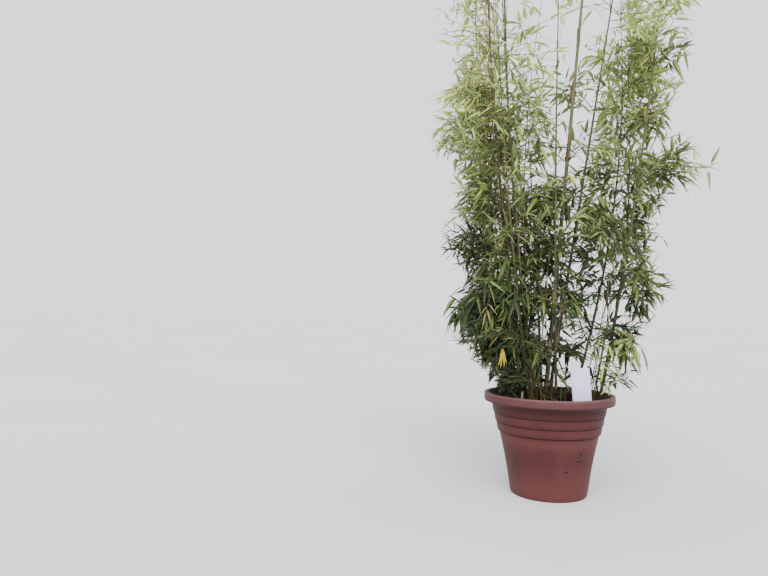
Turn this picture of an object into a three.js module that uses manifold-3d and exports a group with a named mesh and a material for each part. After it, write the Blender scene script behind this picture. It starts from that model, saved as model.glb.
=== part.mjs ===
// Potted bamboo: a clump of thin culms in a round plastic planter with a rolled rim and three stepped
// bands, with a bare card stuck in the soil. Millimetres, +Z up, origin at the middle of the pot's flat
// underside. The clump is seen from the side of -Y, with +X to its right.

import * as THREE from "three";
import { mergeVertices } from "three/addons/utils/BufferGeometryUtils.js";
import Module from "manifold-3d";

const wasm = await Module();
wasm.setup();

const GAP = 0.3; // between two pieces that touch
const UP = new THREE.Vector3(0, 0, 1);
const DEGREE = Math.PI / 180;

// Pot: a thin turned wall that widens upwards in a hollow curve to three bands and a rolled rim
const POT_HEIGHT = 295;
const RIM_RADIUS = 190;
const LIP_DEPTH = 25;
const LIP_WIDTH = 13;
const LIP_ROUND = 5;
const WALL = 4;
const WALL_AT_BANDS = 7;
const FLOOR = 5;
const FOOT_RADIUS = 113;
const FOOT_EDGE = 4; // the body's lowest edge is cut back by this much
const FOOT_EDGE_RISE = 12;
const BODY_TOP = 180;
const BODY_TOP_RADIUS = 144.5;
const BODY_HOLLOW = 2.5; // how far the lower body's side dips in from a straight cone
const BAND_COUNT = 3;
const BAND_LOW_RADIUS = 150;
const BAND_STEP = 6.5; // each band stands this much outside the one below it
const BAND_FLARE = 4;
const BAND_EDGE = 3; // the height of the step under each band
const NECK = 6; // between the top band and the lip
const POT_SIDES = 36;

// Soil: fills the pot to well below the rim
const SOIL_TOP = 235;
const SOIL_SIDES = 20;

// Card: bare and white, standing in the soil behind the front rim
const CARD = { width: 52, height: 142, thick: 0.8, x: 70, y: -112, lean: 4.3, turn: -8 };

// Culms, a row for each: its name, where it leaves the soil, its slope there, where its tip hangs over, its
// height above the soil, its radius at the foot, and the share of its height that is bare of branches
const CULMS = [
  ["middle", [-22, -30], [0.085, -0.02], [150, -60], 2020, 6.8, 0.17],
  ["brown", [2, 30], [0.165, 0.03], [300, 120], 1720, 5.0, 0.15],
  ["left_tall", [-55, 5], [-0.17, 0], [-190, 20], 2000, 5.5, 0.12],
  ["left_inner", [-40, -25], [-0.15, -0.03], [-160, -120], 1860, 5.0, 0.05],
  ["left_outer", [-72, 40], [-0.19, 0.07], [-210, 160], 1500, 4.5, 0.06],
  ["left_front", [-70, -70], [-0.16, -0.16], [-200, -230], 1020, 3.8, 0.06],
  ["left_thin", [-32, 60], [-0.1, 0.06], [-120, 200], 1720, 3.4, 0.12],
  ["middle_thin", [-18, 85], [-0.11, 0.08], [60, 260], 1500, 3.0, 0.15],
  ["right_tall", [128, -45], [0.19, -0.05], [310, -130], 1520, 4.8, 0.06],
  ["right_low", [138, -15], [0.26, 0.03], [250, 40], 1100, 3.8, 0.06],
  ["right_back", [80, 55], [0.33, 0.08], [300, 230], 1380, 4.4, 0.1],
  ["back", [10, 110], [0, 0.16], [-20, 310], 1250, 4.0, 0.08],
  ["front", [4, -72], [-0.05, -0.12], [-40, -250], 1300, 4.0, 0.08],
].map(([name, foot, slope, tip, height, radius, bare]) => ({ name, foot, slope, tip, height, radius, bare }));
const CULM_SIDES = 5;
const CULM_END = 0.8; // share of the height where the culm's solid ends and the mass at its tip begins
const TIP_TAPER = 0.22; // radius at the very tip over the radius at the foot
const INTERNODE = 135; // mean length between two rings
const INTERNODE_SWING = 0.3; // rings lie this share closer together at the foot and the tip
const RING_SWELL = 1.16;
const RING_RISE = 6; // the height over which the culm widens to a ring
const FIRST_RING = 0.03; // lowest and highest share of the height at which a ring stands out
const LAST_RING = 0.78;
const FOOT_SWELL = 1.25; // the culm's widening at the soil, over a height of FOOT_SWELL_RISE
const FOOT_SWELL_RISE = 20;

// Masses of leaves: each owns the points nearer to its own stem than to any other's, within its reach
const SIDE_MASSES = 26;
const REACH = 140;
const SPACE_MARGIN = 1.5;
const LIMB_CLEARANCE = 3;
const RIM_CLEARANCE = 8;
const CARD_CLEARANCE = 16;
const STEM = { length: 125, radius: 2.6, taper: 0.09, steps: 3, rise: 50, droop: 0.3, bearings: 24 };
const STEM_END = 0.97; // share of the culm's height to which the stem at its tip carries on
const HIGHEST_SIDE_STEM = 0.75;
const TWIG = { length: 72, radius: 1.3, taper: 0.4, fork: 58, leaves: 3, fewest: 2 };
const LEAF = { length: 124, width: 25, thick: 1.8, widest: 0.38, sag: 0.1 };
const LEAF_SET = { fork: 38, droop: 0.3, roll: 35, sunk: 5, apart: 9 }; // how a leaf sits on its twig
const TIP_LEAVES = 13;
const SIDE_LEAVES = 11;
const TIP_BARE = 0.12; // the share of a stem with no twig at its foot
const SIDE_BARE = 0.35;
const TWIG_TRIES = 240;
const LEAF_TRIES = 5;
const SLIVER = 0.02; // edges shorter than this are closed up where the pieces of a mass are joined
const CHECKS_ALONG = 6; // places along a leaf, twig or stretch of stem that are tested against limbs
const LEAF_SPACING = 32; // between the middles of two leaves of one mass
const GOLDEN_TURN = 137.5;
const FIRST_SEED = 41;

// A small generator of even random numbers, so that a seed always grows the same mass
class Dice {
  constructor(seed) {
    this.state = (seed * 2654435761) >>> 0;
  }
  roll(low, high) {
    this.state = (Math.imul(this.state, 1664525) + 1013904223) >>> 0;
    return low + ((high - low) * this.state) / 4294967296;
  }
}

// Closed geometry as a manifold-3d solid, and back
function toSolid(geometry) {
  const bare = geometry.clone();
  bare.deleteAttribute("normal");
  bare.deleteAttribute("uv");
  const merged = mergeVertices(bare, 1e-4);
  return new wasm.Manifold(
    new wasm.Mesh({
      numProp: 3,
      vertProperties: merged.attributes.position.array,
      triVerts: new Uint32Array(merged.index.array),
    }),
  );
}

function toGeometry(solid) {
  const mesh = solid.getMesh();
  const geometry = new THREE.BufferGeometry();
  geometry.setAttribute("position", new THREE.BufferAttribute(mesh.vertProperties, 3));
  geometry.setIndex(new THREE.BufferAttribute(mesh.triVerts, 1));
  geometry.computeVertexNormals();
  return geometry;
}

function namedMesh(name, geometry, color, roughness) {
  const material = new THREE.MeshStandardMaterial({ color, roughness, metalness: 0 });
  const mesh = new THREE.Mesh(geometry, material);
  mesh.name = name;
  return mesh;
}

// A round piece turned about +Z from a profile of [radius, height] that starts and ends on the axis
function turned(profile, sides) {
  const points = profile.map(([radius, height]) => new THREE.Vector2(radius, height));
  const geometry = new THREE.LatheGeometry(points, sides);
  geometry.rotateX(Math.PI / 2);
  return geometry;
}

// The pot's outside from the foot to the lip, as [radius, height]
function potOutside() {
  const profile = [[FOOT_RADIUS - FOOT_EDGE, 0]];
  const bodySteps = 4;
  for (let i = 0; i <= bodySteps; i++) {
    const share = i / bodySteps;
    const cone = FOOT_RADIUS + (BODY_TOP_RADIUS - FOOT_RADIUS) * share;
    const height = FOOT_EDGE_RISE + (BODY_TOP - FOOT_EDGE_RISE) * share;
    profile.push([cone - BODY_HOLLOW * Math.sin(Math.PI * share), height]);
  }
  const bandsTop = POT_HEIGHT - LIP_DEPTH - NECK;
  const bandHeight = (bandsTop - BODY_TOP - BAND_EDGE) / BAND_COUNT;
  for (let i = 0; i < BAND_COUNT; i++) {
    const low = BODY_TOP + BAND_EDGE + bandHeight * i;
    const radius = BAND_LOW_RADIUS + BAND_STEP * i;
    profile.push([radius, low], [radius + BAND_FLARE, low + bandHeight - BAND_EDGE]);
  }
  return profile;
}

function potGeometry() {
  const outside = potOutside();
  const lipLow = POT_HEIGHT - LIP_DEPTH;
  const lip = [
    [RIM_RADIUS - LIP_ROUND / 2, lipLow],
    [RIM_RADIUS, lipLow + LIP_ROUND],
    [RIM_RADIUS, POT_HEIGHT - LIP_ROUND],
    [RIM_RADIUS - LIP_ROUND, POT_HEIGHT],
    [RIM_RADIUS - LIP_WIDTH, POT_HEIGHT],
    [RIM_RADIUS - LIP_WIDTH - LIP_ROUND / 2, POT_HEIGHT - 2 * LIP_ROUND],
  ];
  return turned([[0, 0], ...outside, ...lip, ...potInside(), [0, FLOOR]], POT_SIDES);
}

// The wall's inside from under the lip down to the floor: a plain curve, a wall's width inside the outside
function potInside() {
  const highBand = BAND_LOW_RADIUS + BAND_STEP * (BAND_COUNT - 1) + BAND_FLARE;
  const middle = (BODY_TOP_RADIUS + FOOT_RADIUS) / 2 - BODY_HOLLOW;
  return [
    [highBand - WALL, POT_HEIGHT - LIP_DEPTH - NECK],
    [BAND_LOW_RADIUS - WALL_AT_BANDS, BODY_TOP + 2 * BAND_EDGE],
    [middle - WALL, (BODY_TOP + FOOT_EDGE_RISE) / 2],
    [FOOT_RADIUS - WALL, FOOT_EDGE_RISE],
    [FOOT_RADIUS - WALL - FOOT_EDGE, FLOOR],
  ];
}

function soilGeometry() {
  const wall = potInside().map(([radius, height]) => [radius - GAP - 1, height]);
  const [high, next] = wall;
  const share = (SOIL_TOP - next[1]) / (high[1] - next[1]);
  const edge = [next[0] + (high[0] - next[0]) * share, SOIL_TOP];
  const side = [edge, ...wall.slice(1)].reverse();
  side[0][1] = FLOOR + GAP;
  return turned([[0, FLOOR + GAP], ...side, [0, SOIL_TOP]], SOIL_SIDES);
}

// The culm's middle line: a curve from its slope at the soil to its tip, t running from 0 to 1
function culmPoint(culm, t) {
  const swing = t * (1 - t) * culm.height;
  const [x, y] = [0, 1].map(
    (i) => culm.foot[i] * (1 - t * t) + culm.slope[i] * swing + culm.tip[i] * t * t,
  );
  return new THREE.Vector3(x, y, SOIL_TOP + GAP + culm.height * t);
}

function culmHeading(culm, t) {
  return culmPoint(culm, t + 0.01).sub(culmPoint(culm, t - 0.01)).normalize();
}

function culmRadius(culm, t) {
  return culm.radius * (1 - (1 - TIP_TAPER) * Math.pow(t, 1.3));
}

// Shares of the height at which the culm's rings lie, closer together at the foot and at the tip
function culmRings(culm) {
  const count = Math.round(culm.height / INTERNODE);
  return Array.from({ length: count - 1 }, (_, i) => {
    const share = (i + 1) / count;
    return share - (INTERNODE_SWING * Math.sin(2 * Math.PI * share)) / (2 * Math.PI);
  });
}

// A limb of round section along points, each with its radius: the rings of a cylinder moved on to them.
// Each ring is square to the limb there, and the first one to the given heading, where there is one.
function limb(points, radii, sides, firstHeading) {
  const geometry = new THREE.CylinderGeometry(1, 1, 1, sides, points.length - 1);
  geometry.rotateX(Math.PI / 2);
  const position = geometry.getAttribute("position");
  const frames = points.map((point, i) => {
    const before = points[Math.max(i - 1, 0)];
    const after = points[Math.min(i + 1, points.length - 1)];
    const heading = i === 0 && firstHeading ? firstHeading : after.clone().sub(before).normalize();
    return new THREE.Quaternion().setFromUnitVectors(UP, heading);
  });
  const spot = new THREE.Vector3();
  for (let i = 0; i < position.count; i++) {
    const ring = Math.round((position.getZ(i) + 0.5) * (points.length - 1));
    spot.set(position.getX(i), position.getY(i), 0).multiplyScalar(radii[ring]);
    spot.applyQuaternion(frames[ring]).add(points[ring]);
    position.setXYZ(i, spot.x, spot.y, spot.z);
  }
  return geometry;
}

// A culm from its flat cut at the soil to its end inside the topmost mass, swollen at every ring
function culmGeometry(culm) {
  const stops = [[0, FOOT_SWELL], [FOOT_SWELL_RISE / culm.height, 1]];
  for (const ring of culmRings(culm)) {
    if (ring < FIRST_RING || ring > LAST_RING) continue;
    stops.push([ring - RING_RISE / culm.height, 1], [ring, RING_SWELL]);
  }
  stops.push([CULM_END, 1]);
  const points = stops.map(([t]) => culmPoint(culm, t));
  const radii = stops.map(([t, swell]) => culmRadius(culm, t) * swell);
  return limb(points, radii, CULM_SIDES, UP);
}

// Every mass: its name and stem. A stem at a culm's tip carries the culm's line on. Each further one
// leaves a ring at a culm's side, on the ring and bearing with the widest gap to the stems so far.
function planMasses() {
  const masses = CULMS.map((culm) => {
    const stem = [culmPoint(culm, CULM_END).addScaledVector(culmHeading(culm, CULM_END), GAP)];
    for (let i = 1; i <= STEM.steps; i++)
      stem.push(culmPoint(culm, CULM_END + ((STEM_END - CULM_END) * i) / STEM.steps));
    return { name: `leaves_${culm.name}_tip`, culm, stem, bare: TIP_BARE, leaves: TIP_LEAVES };
  });
  const free = CULMS.flatMap((culm) =>
    culmRings(culm)
      .filter((t) => t > culm.bare && t < HIGHEST_SIDE_STEM)
      .flatMap((t) =>
        Array.from({ length: STEM.bearings }, (_, i) => {
          const stem = sideStem(culm, t, (2 * Math.PI * i) / STEM.bearings);
          return { culm, stem, gap: gapToCulms(stem, culm) };
        })));
  const widen = (stems) => {
    for (const place of free)
      for (const stem of stems)
        place.gap = Math.min(place.gap, ...place.stem.slice(1).map((joint) => distanceToStem(joint, stem)));
  };
  widen(masses.map((mass) => mass.stem));
  for (let i = 0; i < SIDE_MASSES; i++) {
    const place = free.reduce((best, other) => (other.gap > best.gap ? other : best));
    const number = masses.filter((mass) => mass.culm === place.culm).length;
    const name = `leaves_${place.culm.name}_${number}`;
    masses.push({ name, culm: place.culm, stem: place.stem, bare: SIDE_BARE, leaves: SIDE_LEAVES });
    widen([place.stem]);
  }
  masses.forEach((mass, i) => (mass.seed = FIRST_SEED + i));
  return masses;
}

// How far a stem keeps from the other culms, counted three times over because a culm is only a line
function gapToCulms(stem, culm) {
  const others = CULMS.filter((other) => other !== culm);
  const places = stem.slice(1).flatMap((joint, i) => placesAlong(stem[i], joint));
  return 3 * Math.min(...places.flatMap((place) => others.map((other) => distanceToCulm(place, other))));
}

function placesAlong(start, end) {
  return Array.from({ length: CHECKS_ALONG }, (_, i) => start.clone().lerp(end, (i + 1) / CHECKS_ALONG));
}

function sideStem(culm, t, bearing) {
  const outward = new THREE.Vector3(Math.cos(bearing), Math.sin(bearing), 0);
  const rise = STEM.rise * DEGREE;
  const heading = outward.clone().multiplyScalar(Math.cos(rise)).addScaledVector(UP, Math.sin(rise));
  const clear = culmRadius(culm, t) * RING_SWELL + GAP + STEM.radius;
  const start = culmPoint(culm, t).addScaledVector(outward, clear);
  return bend(start, heading, STEM.length, STEM.steps, STEM.droop);
}

// The level distance from a point to a culm's middle line, without end above the culm's own end
function distanceToCulm(point, culm) {
  const t = (point.z - SOIL_TOP - GAP) / culm.height;
  if (t > CULM_END + 0.005) return Infinity;
  const axis = culmPoint(culm, t);
  return Math.hypot(axis.x - point.x, axis.y - point.y);
}

// The distance from a point to a stem's joints and the straight stretches between them
function distanceToStem(point, stem) {
  const near = new THREE.Vector3();
  const stretch = new THREE.Line3();
  let least = Infinity;
  for (let i = 1; i < stem.length; i++) {
    stretch.set(stem[i - 1], stem[i]).closestPointToPoint(point, true, near);
    least = Math.min(least, near.distanceTo(point));
  }
  return least;
}

// Whether a point is clear of the rim, the card and every culm
function clearOfLimbs(point, margin) {
  if (point.z < POT_HEIGHT + RIM_CLEARANCE) return false;
  const card = Math.hypot(point.x - CARD.x, point.y - CARD.y) - CARD.width / 2;
  if (point.z < SOIL_TOP + CARD.height + CARD_CLEARANCE && card < CARD_CLEARANCE) return false;
  return CULMS.every((culm) => distanceToCulm(point, culm) > culm.radius + LIMB_CLEARANCE + margin);
}

// Whether a mass owns a point: within its reach, nearer to its stem than to any other, clear of limbs
function owns(mass, masses, point, margin) {
  const own = distanceToStem(point, mass.stem);
  if (own > REACH || !clearOfLimbs(point, margin)) return false;
  return masses.every((other) => other === mass || distanceToStem(point, other.stem) - own > 2 * margin);
}

// A shoot's joints: it starts along its heading and bends down a little at every step
function bend(start, heading, length, steps, droop) {
  const points = [start.clone()];
  const way = heading.clone();
  for (let i = 0; i < steps; i++) {
    points.push(points[i].clone().addScaledVector(way, length / steps));
    way.addScaledVector(UP, -droop).normalize();
  }
  return points;
}

// A heading turned off another by an angle, towards the side that a turn about it gives
function fork(heading, angle, turn) {
  const across = new THREE.Vector3().crossVectors(heading, UP).normalize();
  across.applyAxisAngle(heading, turn * DEGREE);
  return heading
    .clone()
    .multiplyScalar(Math.cos(angle * DEGREE))
    .addScaledVector(across, Math.sin(angle * DEGREE))
    .normalize();
}

// A leaf's five corners: its root, its tip, and the keel between its two edges where it is broadest
function leafCorners(root, way, dice) {
  const across = new THREE.Vector3().crossVectors(way, UP).normalize();
  across.applyAxisAngle(way, dice.roll(-LEAF_SET.roll, LEAF_SET.roll) * DEGREE);
  const face = new THREE.Vector3().crossVectors(across, way);
  const length = LEAF.length * dice.roll(0.85, 1.1);
  const broad = root.clone().addScaledVector(way, length * LEAF.widest);
  const tip = root.clone().addScaledVector(way, length).addScaledVector(UP, -length * LEAF.sag);
  const edge = (side) =>
    broad.clone().addScaledVector(across, (side * LEAF.width) / 2).addScaledVector(face, LEAF.thick / 2);
  return [root.clone(), tip, edge(-1), broad.clone().addScaledVector(face, -LEAF.thick / 2), edge(1)];
}

// The corners as a closed blade of six faces, flat above and keeled below
function leafGeometry(corners) {
  const faces = [0, 2, 3, 0, 3, 4, 0, 4, 2, 1, 3, 2, 1, 4, 3, 1, 2, 4];
  return new THREE.BufferGeometry().setFromPoints(corners).setIndex(faces);
}

// A mass grown from its seed: its stem, twigs forking off it by turns, and leaves on the twigs. A twig
// or leaf that would leave the mass's own space is skipped.
function growMass(mass, masses) {
  const dice = new Dice(mass.seed);
  const keeps = (point, margin) => owns(mass, masses, point, margin + SPACE_MARGIN);
  const stemRadii = mass.stem.map((_, i) => STEM.radius * (1 - STEM.taper * i));
  const solids = [toSolid(limb(mass.stem, stemRadii, 3))];
  const middles = [];

  // The corners of a leaf that fits beside the others, or nothing
  const fitLeaf = (root, way, others) => {
    const drooped = way.clone().addScaledVector(UP, -LEAF_SET.droop * dice.roll(0.4, 1.6)).normalize();
    const corners = leafCorners(root, drooped, dice);
    const middle = corners[0].clone().lerp(corners[1], 0.5);
    if ([...middles, ...others].some((other) => other.distanceTo(middle) < LEAF_SPACING)) return null;
    if (!corners.slice(1).every((corner) => keeps(corner, 0))) return null;
    const clear = placesAlong(corners[0], corners[1]).every((place, i) => {
      const share = (i + 1) / CHECKS_ALONG;
      const narrowing = share < LEAF.widest ? share / LEAF.widest : (1 - share) / (1 - LEAF.widest);
      return clearOfLimbs(place, (LEAF.width / 2) * narrowing);
    });
    return clear ? { corners, middle } : null;
  };

  // A spray: leaves by turns round the end of a twig, kept only where enough of them fit
  const addSpray = (end, way) => {
    const spray = [];
    for (let k = 0; k < TWIG.leaves; k++) {
      const root = end.clone().addScaledVector(way, -LEAF_SET.sunk - LEAF_SET.apart * spray.length);
      for (let i = 0; i < LEAF_TRIES; i++) {
        const turn = (360 / TWIG.leaves) * k + dice.roll(-50, 50);
        const leafWay = fork(way, LEAF_SET.fork * dice.roll(0.6, 1.3), turn);
        const leaf = fitLeaf(root, leafWay, spray.map((other) => other.middle));
        if (leaf) {
          spray.push(leaf);
          break;
        }
      }
    }
    if (spray.length < TWIG.fewest) return false;
    for (const leaf of spray) {
      middles.push(leaf.middle);
      solids.push(toSolid(leafGeometry(leaf.corners)));
    }
    return true;
  };

  const last = mass.stem.length - 1;
  addSpray(mass.stem[last], mass.stem[last].clone().sub(mass.stem[last - 1]).normalize());
  for (let i = 0; i < TWIG_TRIES && middles.length < mass.leaves; i++) {
    const share = last * dice.roll(mass.bare, 0.97);
    const k = Math.floor(share);
    const joint = mass.stem[k].clone().lerp(mass.stem[k + 1], share - k);
    const heading = mass.stem[k + 1].clone().sub(mass.stem[k]).normalize();
    const way = fork(heading, TWIG.fork * dice.roll(0.6, 1.3), i * GOLDEN_TURN);
    const end = joint.clone().addScaledVector(way, TWIG.length * dice.roll(0.7, 1.15));
    const places = placesAlong(joint, end);
    if (places.every((place) => keeps(place, TWIG.radius)) && addSpray(end, way))
      solids.push(toSolid(limb([joint, end], [TWIG.radius, TWIG.radius * (1 - TWIG.taper)], 3)));
  }
  const bodies = wasm.Manifold.union(solids).simplify(SLIVER).decompose();
  const [largest] = bodies.sort((a, b) => b.volume() - a.volume());
  return toGeometry(largest);
}

const plant = new THREE.Group();

const pot = namedMesh("pot", potGeometry(), 0x7a4743, 0.6);
const soil = namedMesh("soil", soilGeometry(), 0x3a2a22, 0.95);
plant.add(pot, soil);

const card = namedMesh("card", new THREE.BoxGeometry(CARD.width, CARD.thick, CARD.height), 0xe6e2ea, 0.5);
const cardStand = new THREE.Group();
cardStand.position.set(CARD.x, CARD.y, SOIL_TOP + GAP + (CARD.width / 2) * Math.sin(CARD.lean * DEGREE));
cardStand.rotation.set(0, -CARD.lean * DEGREE, CARD.turn * DEGREE, "ZYX");
card.position.z = CARD.height / 2;
cardStand.add(card);
plant.add(cardStand);

for (const culm of CULMS) plant.add(namedMesh(`culm_${culm.name}`, culmGeometry(culm), 0x77704a, 0.5));

const masses = planMasses();
for (const mass of masses) plant.add(namedMesh(mass.name, growMass(mass, masses), 0x6a8038, 0.55));

export default plant;
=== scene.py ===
"""Looks of a potted bamboo: a clump of thin canes with a tall airy crown, in a terracotta planter."""

import math

import bpy
import numpy as np
from mathutils import Matrix, Vector


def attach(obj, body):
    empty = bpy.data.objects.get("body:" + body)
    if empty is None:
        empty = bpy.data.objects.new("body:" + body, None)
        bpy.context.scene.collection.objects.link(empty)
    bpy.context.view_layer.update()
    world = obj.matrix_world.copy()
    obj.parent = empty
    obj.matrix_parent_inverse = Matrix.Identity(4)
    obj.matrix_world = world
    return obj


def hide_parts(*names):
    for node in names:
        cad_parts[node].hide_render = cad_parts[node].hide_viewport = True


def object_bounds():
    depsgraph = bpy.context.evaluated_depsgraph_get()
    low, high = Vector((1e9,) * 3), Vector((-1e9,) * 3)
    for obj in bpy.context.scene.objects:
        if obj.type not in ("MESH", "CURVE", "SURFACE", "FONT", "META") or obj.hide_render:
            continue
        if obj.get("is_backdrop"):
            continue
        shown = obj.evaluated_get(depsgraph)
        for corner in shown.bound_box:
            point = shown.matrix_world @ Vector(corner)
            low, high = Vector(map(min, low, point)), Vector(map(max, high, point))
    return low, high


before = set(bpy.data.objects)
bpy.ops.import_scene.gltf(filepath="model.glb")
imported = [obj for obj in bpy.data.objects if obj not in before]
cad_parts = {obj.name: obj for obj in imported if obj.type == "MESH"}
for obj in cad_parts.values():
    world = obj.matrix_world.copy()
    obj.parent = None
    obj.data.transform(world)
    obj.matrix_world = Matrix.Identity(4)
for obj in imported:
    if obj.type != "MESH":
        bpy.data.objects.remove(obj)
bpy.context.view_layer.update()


# The pot is a round garden planter, moulded in one thin wall of terracotta-coloured plastic. Its side
# widens in a nearly straight cone to three stepped bands, and ends in a thick rolled lip with an undercut.
# It is dusty and faded and has four dark scuffs on its side. Its creases are darkened with grime and with
# painted shade, a painted shade lies under the lip, and its top edge is paler with dust, wear and a painted
# highlight.

MM = 0.001


def sleeves(rings, starts, ends):
    """Corners and faces of closed sleeves. Each sleeve is a row of rings with the same number of corners,
    joined ring to ring by four-sided faces and closed at each end by a fan of triangles to one corner. The
    rings run anticlockwise as seen from ahead, so that every face points outwards."""
    count, rows, sides, _ = rings.shape
    per_item = rows * sides + 2
    corners = np.concatenate([starts[:, None], rings.reshape(count, -1, 3), ends[:, None]], axis=1)
    row, side = np.meshgrid(np.arange(rows - 1), np.arange(sides), indexing="ij")
    here = 1 + row * sides + side
    beside = 1 + row * sides + (side + 1) % sides
    quads = np.stack([here, beside, beside + sides, here + sides], -1).reshape(-1, 4)
    first = 1 + np.arange(sides)
    second = 1 + (np.arange(sides) + 1) % sides
    last = (rows - 1) * sides
    foot = np.stack([np.zeros(sides, int), second, first], -1)
    head = np.stack([np.full(sides, per_item - 1), first + last, second + last], -1)
    offset = (np.arange(count) * per_item)[:, None, None]
    triangles = (np.concatenate([foot, head])[None] + offset).reshape(-1, 3)
    return corners.reshape(-1, 3), (quads[None] + offset).reshape(-1, 4), triangles


def to_corners(values, sides):
    """Values of a sleeve's rings, given to all of their corners and to the sleeve's two end corners."""
    return np.concatenate([values[:1], np.repeat(values, sides, axis=0), values[-1:]])


def add_piece(name, shape, material, nodes=(), point_values=None):
    """Puts a shape in mm into a new smooth piece in metres: its corners, its four-sided faces and its
    triangles. The piece takes the place of some nodes and may hold values for each corner."""
    corners, quads, triangles = shape
    mesh = bpy.data.meshes.new(name)
    mesh.vertices.add(len(corners))
    mesh.vertices.foreach_set("co", (corners * MM).astype(np.float32).ravel())
    mesh.loops.add(quads.size + triangles.size)
    corner_numbers = np.concatenate([quads.ravel(), triangles.ravel()])
    mesh.loops.foreach_set("vertex_index", corner_numbers.astype(np.int32))
    sizes = np.concatenate([np.full(len(quads), 4), np.full(len(triangles), 3)])
    mesh.polygons.add(len(sizes))
    mesh.polygons.foreach_set("loop_start", (np.cumsum(sizes) - sizes).astype(np.int32))
    mesh.polygons.foreach_set("use_smooth", np.ones(len(sizes), bool))
    for key, values in (point_values or {}).items():
        layer = mesh.attributes.new(key, "FLOAT_VECTOR", "POINT")
        layer.data.foreach_set("vector", np.asarray(values, np.float32).ravel())
    mesh.update(calc_edges=True)
    mesh.materials.append(material)
    piece = bpy.data.objects.new(name, mesh)
    bpy.context.scene.collection.objects.link(piece)
    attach(piece, "root")
    if nodes:
        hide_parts(*nodes)
    return piece


def rounded(profile, radius, steps=5):
    """The profile with each inner corner eased: a parabola from a point before it to a point after it, each
    at the radius from the corner or at a third of the side, whichever is nearer."""
    before, corner, after = profile[:-2], profile[1:-1], profile[2:]
    back, ahead = before - corner, after - corner
    back_length = np.linalg.norm(back, axis=1, keepdims=True)
    ahead_length = np.linalg.norm(ahead, axis=1, keepdims=True)
    start = corner + back * np.minimum(radius / back_length, 0.33)
    end = corner + ahead * np.minimum(radius / ahead_length, 0.33)
    t = np.linspace(0, 1, steps)[None, :, None]
    arcs = start[:, None] * (1 - t) ** 2 + 2 * corner[:, None] * t * (1 - t) + end[:, None] * t ** 2
    return np.concatenate([profile[:1], arcs.reshape(-1, 2), profile[-1:]])


def divided(profile, longest):
    """The profile with points added at even spaces along every side that is longer than a length."""
    pieces = []
    for start, end in zip(profile[:-1], profile[1:]):
        steps = max(1, math.ceil(np.linalg.norm(end - start) / longest))
        pieces.append(start + (end - start) * np.linspace(0, 1, steps, endpoint=False)[:, None])
    return np.concatenate(pieces + [profile[-1:]])


def turned(profile, sides):
    """A sleeve about the upright axis: every profile point of radius and height is carried once round."""
    turn = np.linspace(0, 2 * np.pi, sides, endpoint=False)
    radius, height = profile[1:-1, 0][:, None], profile[1:-1, 1][:, None]
    rings = np.stack([radius * np.cos(turn), radius * np.sin(turn), height + 0 * turn], -1)
    ends = np.array([[0, 0, profile[0, 1]], [0, 0, profile[-1, 1]]])
    return sleeves(rings[None], ends[:1], ends[1:])


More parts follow.
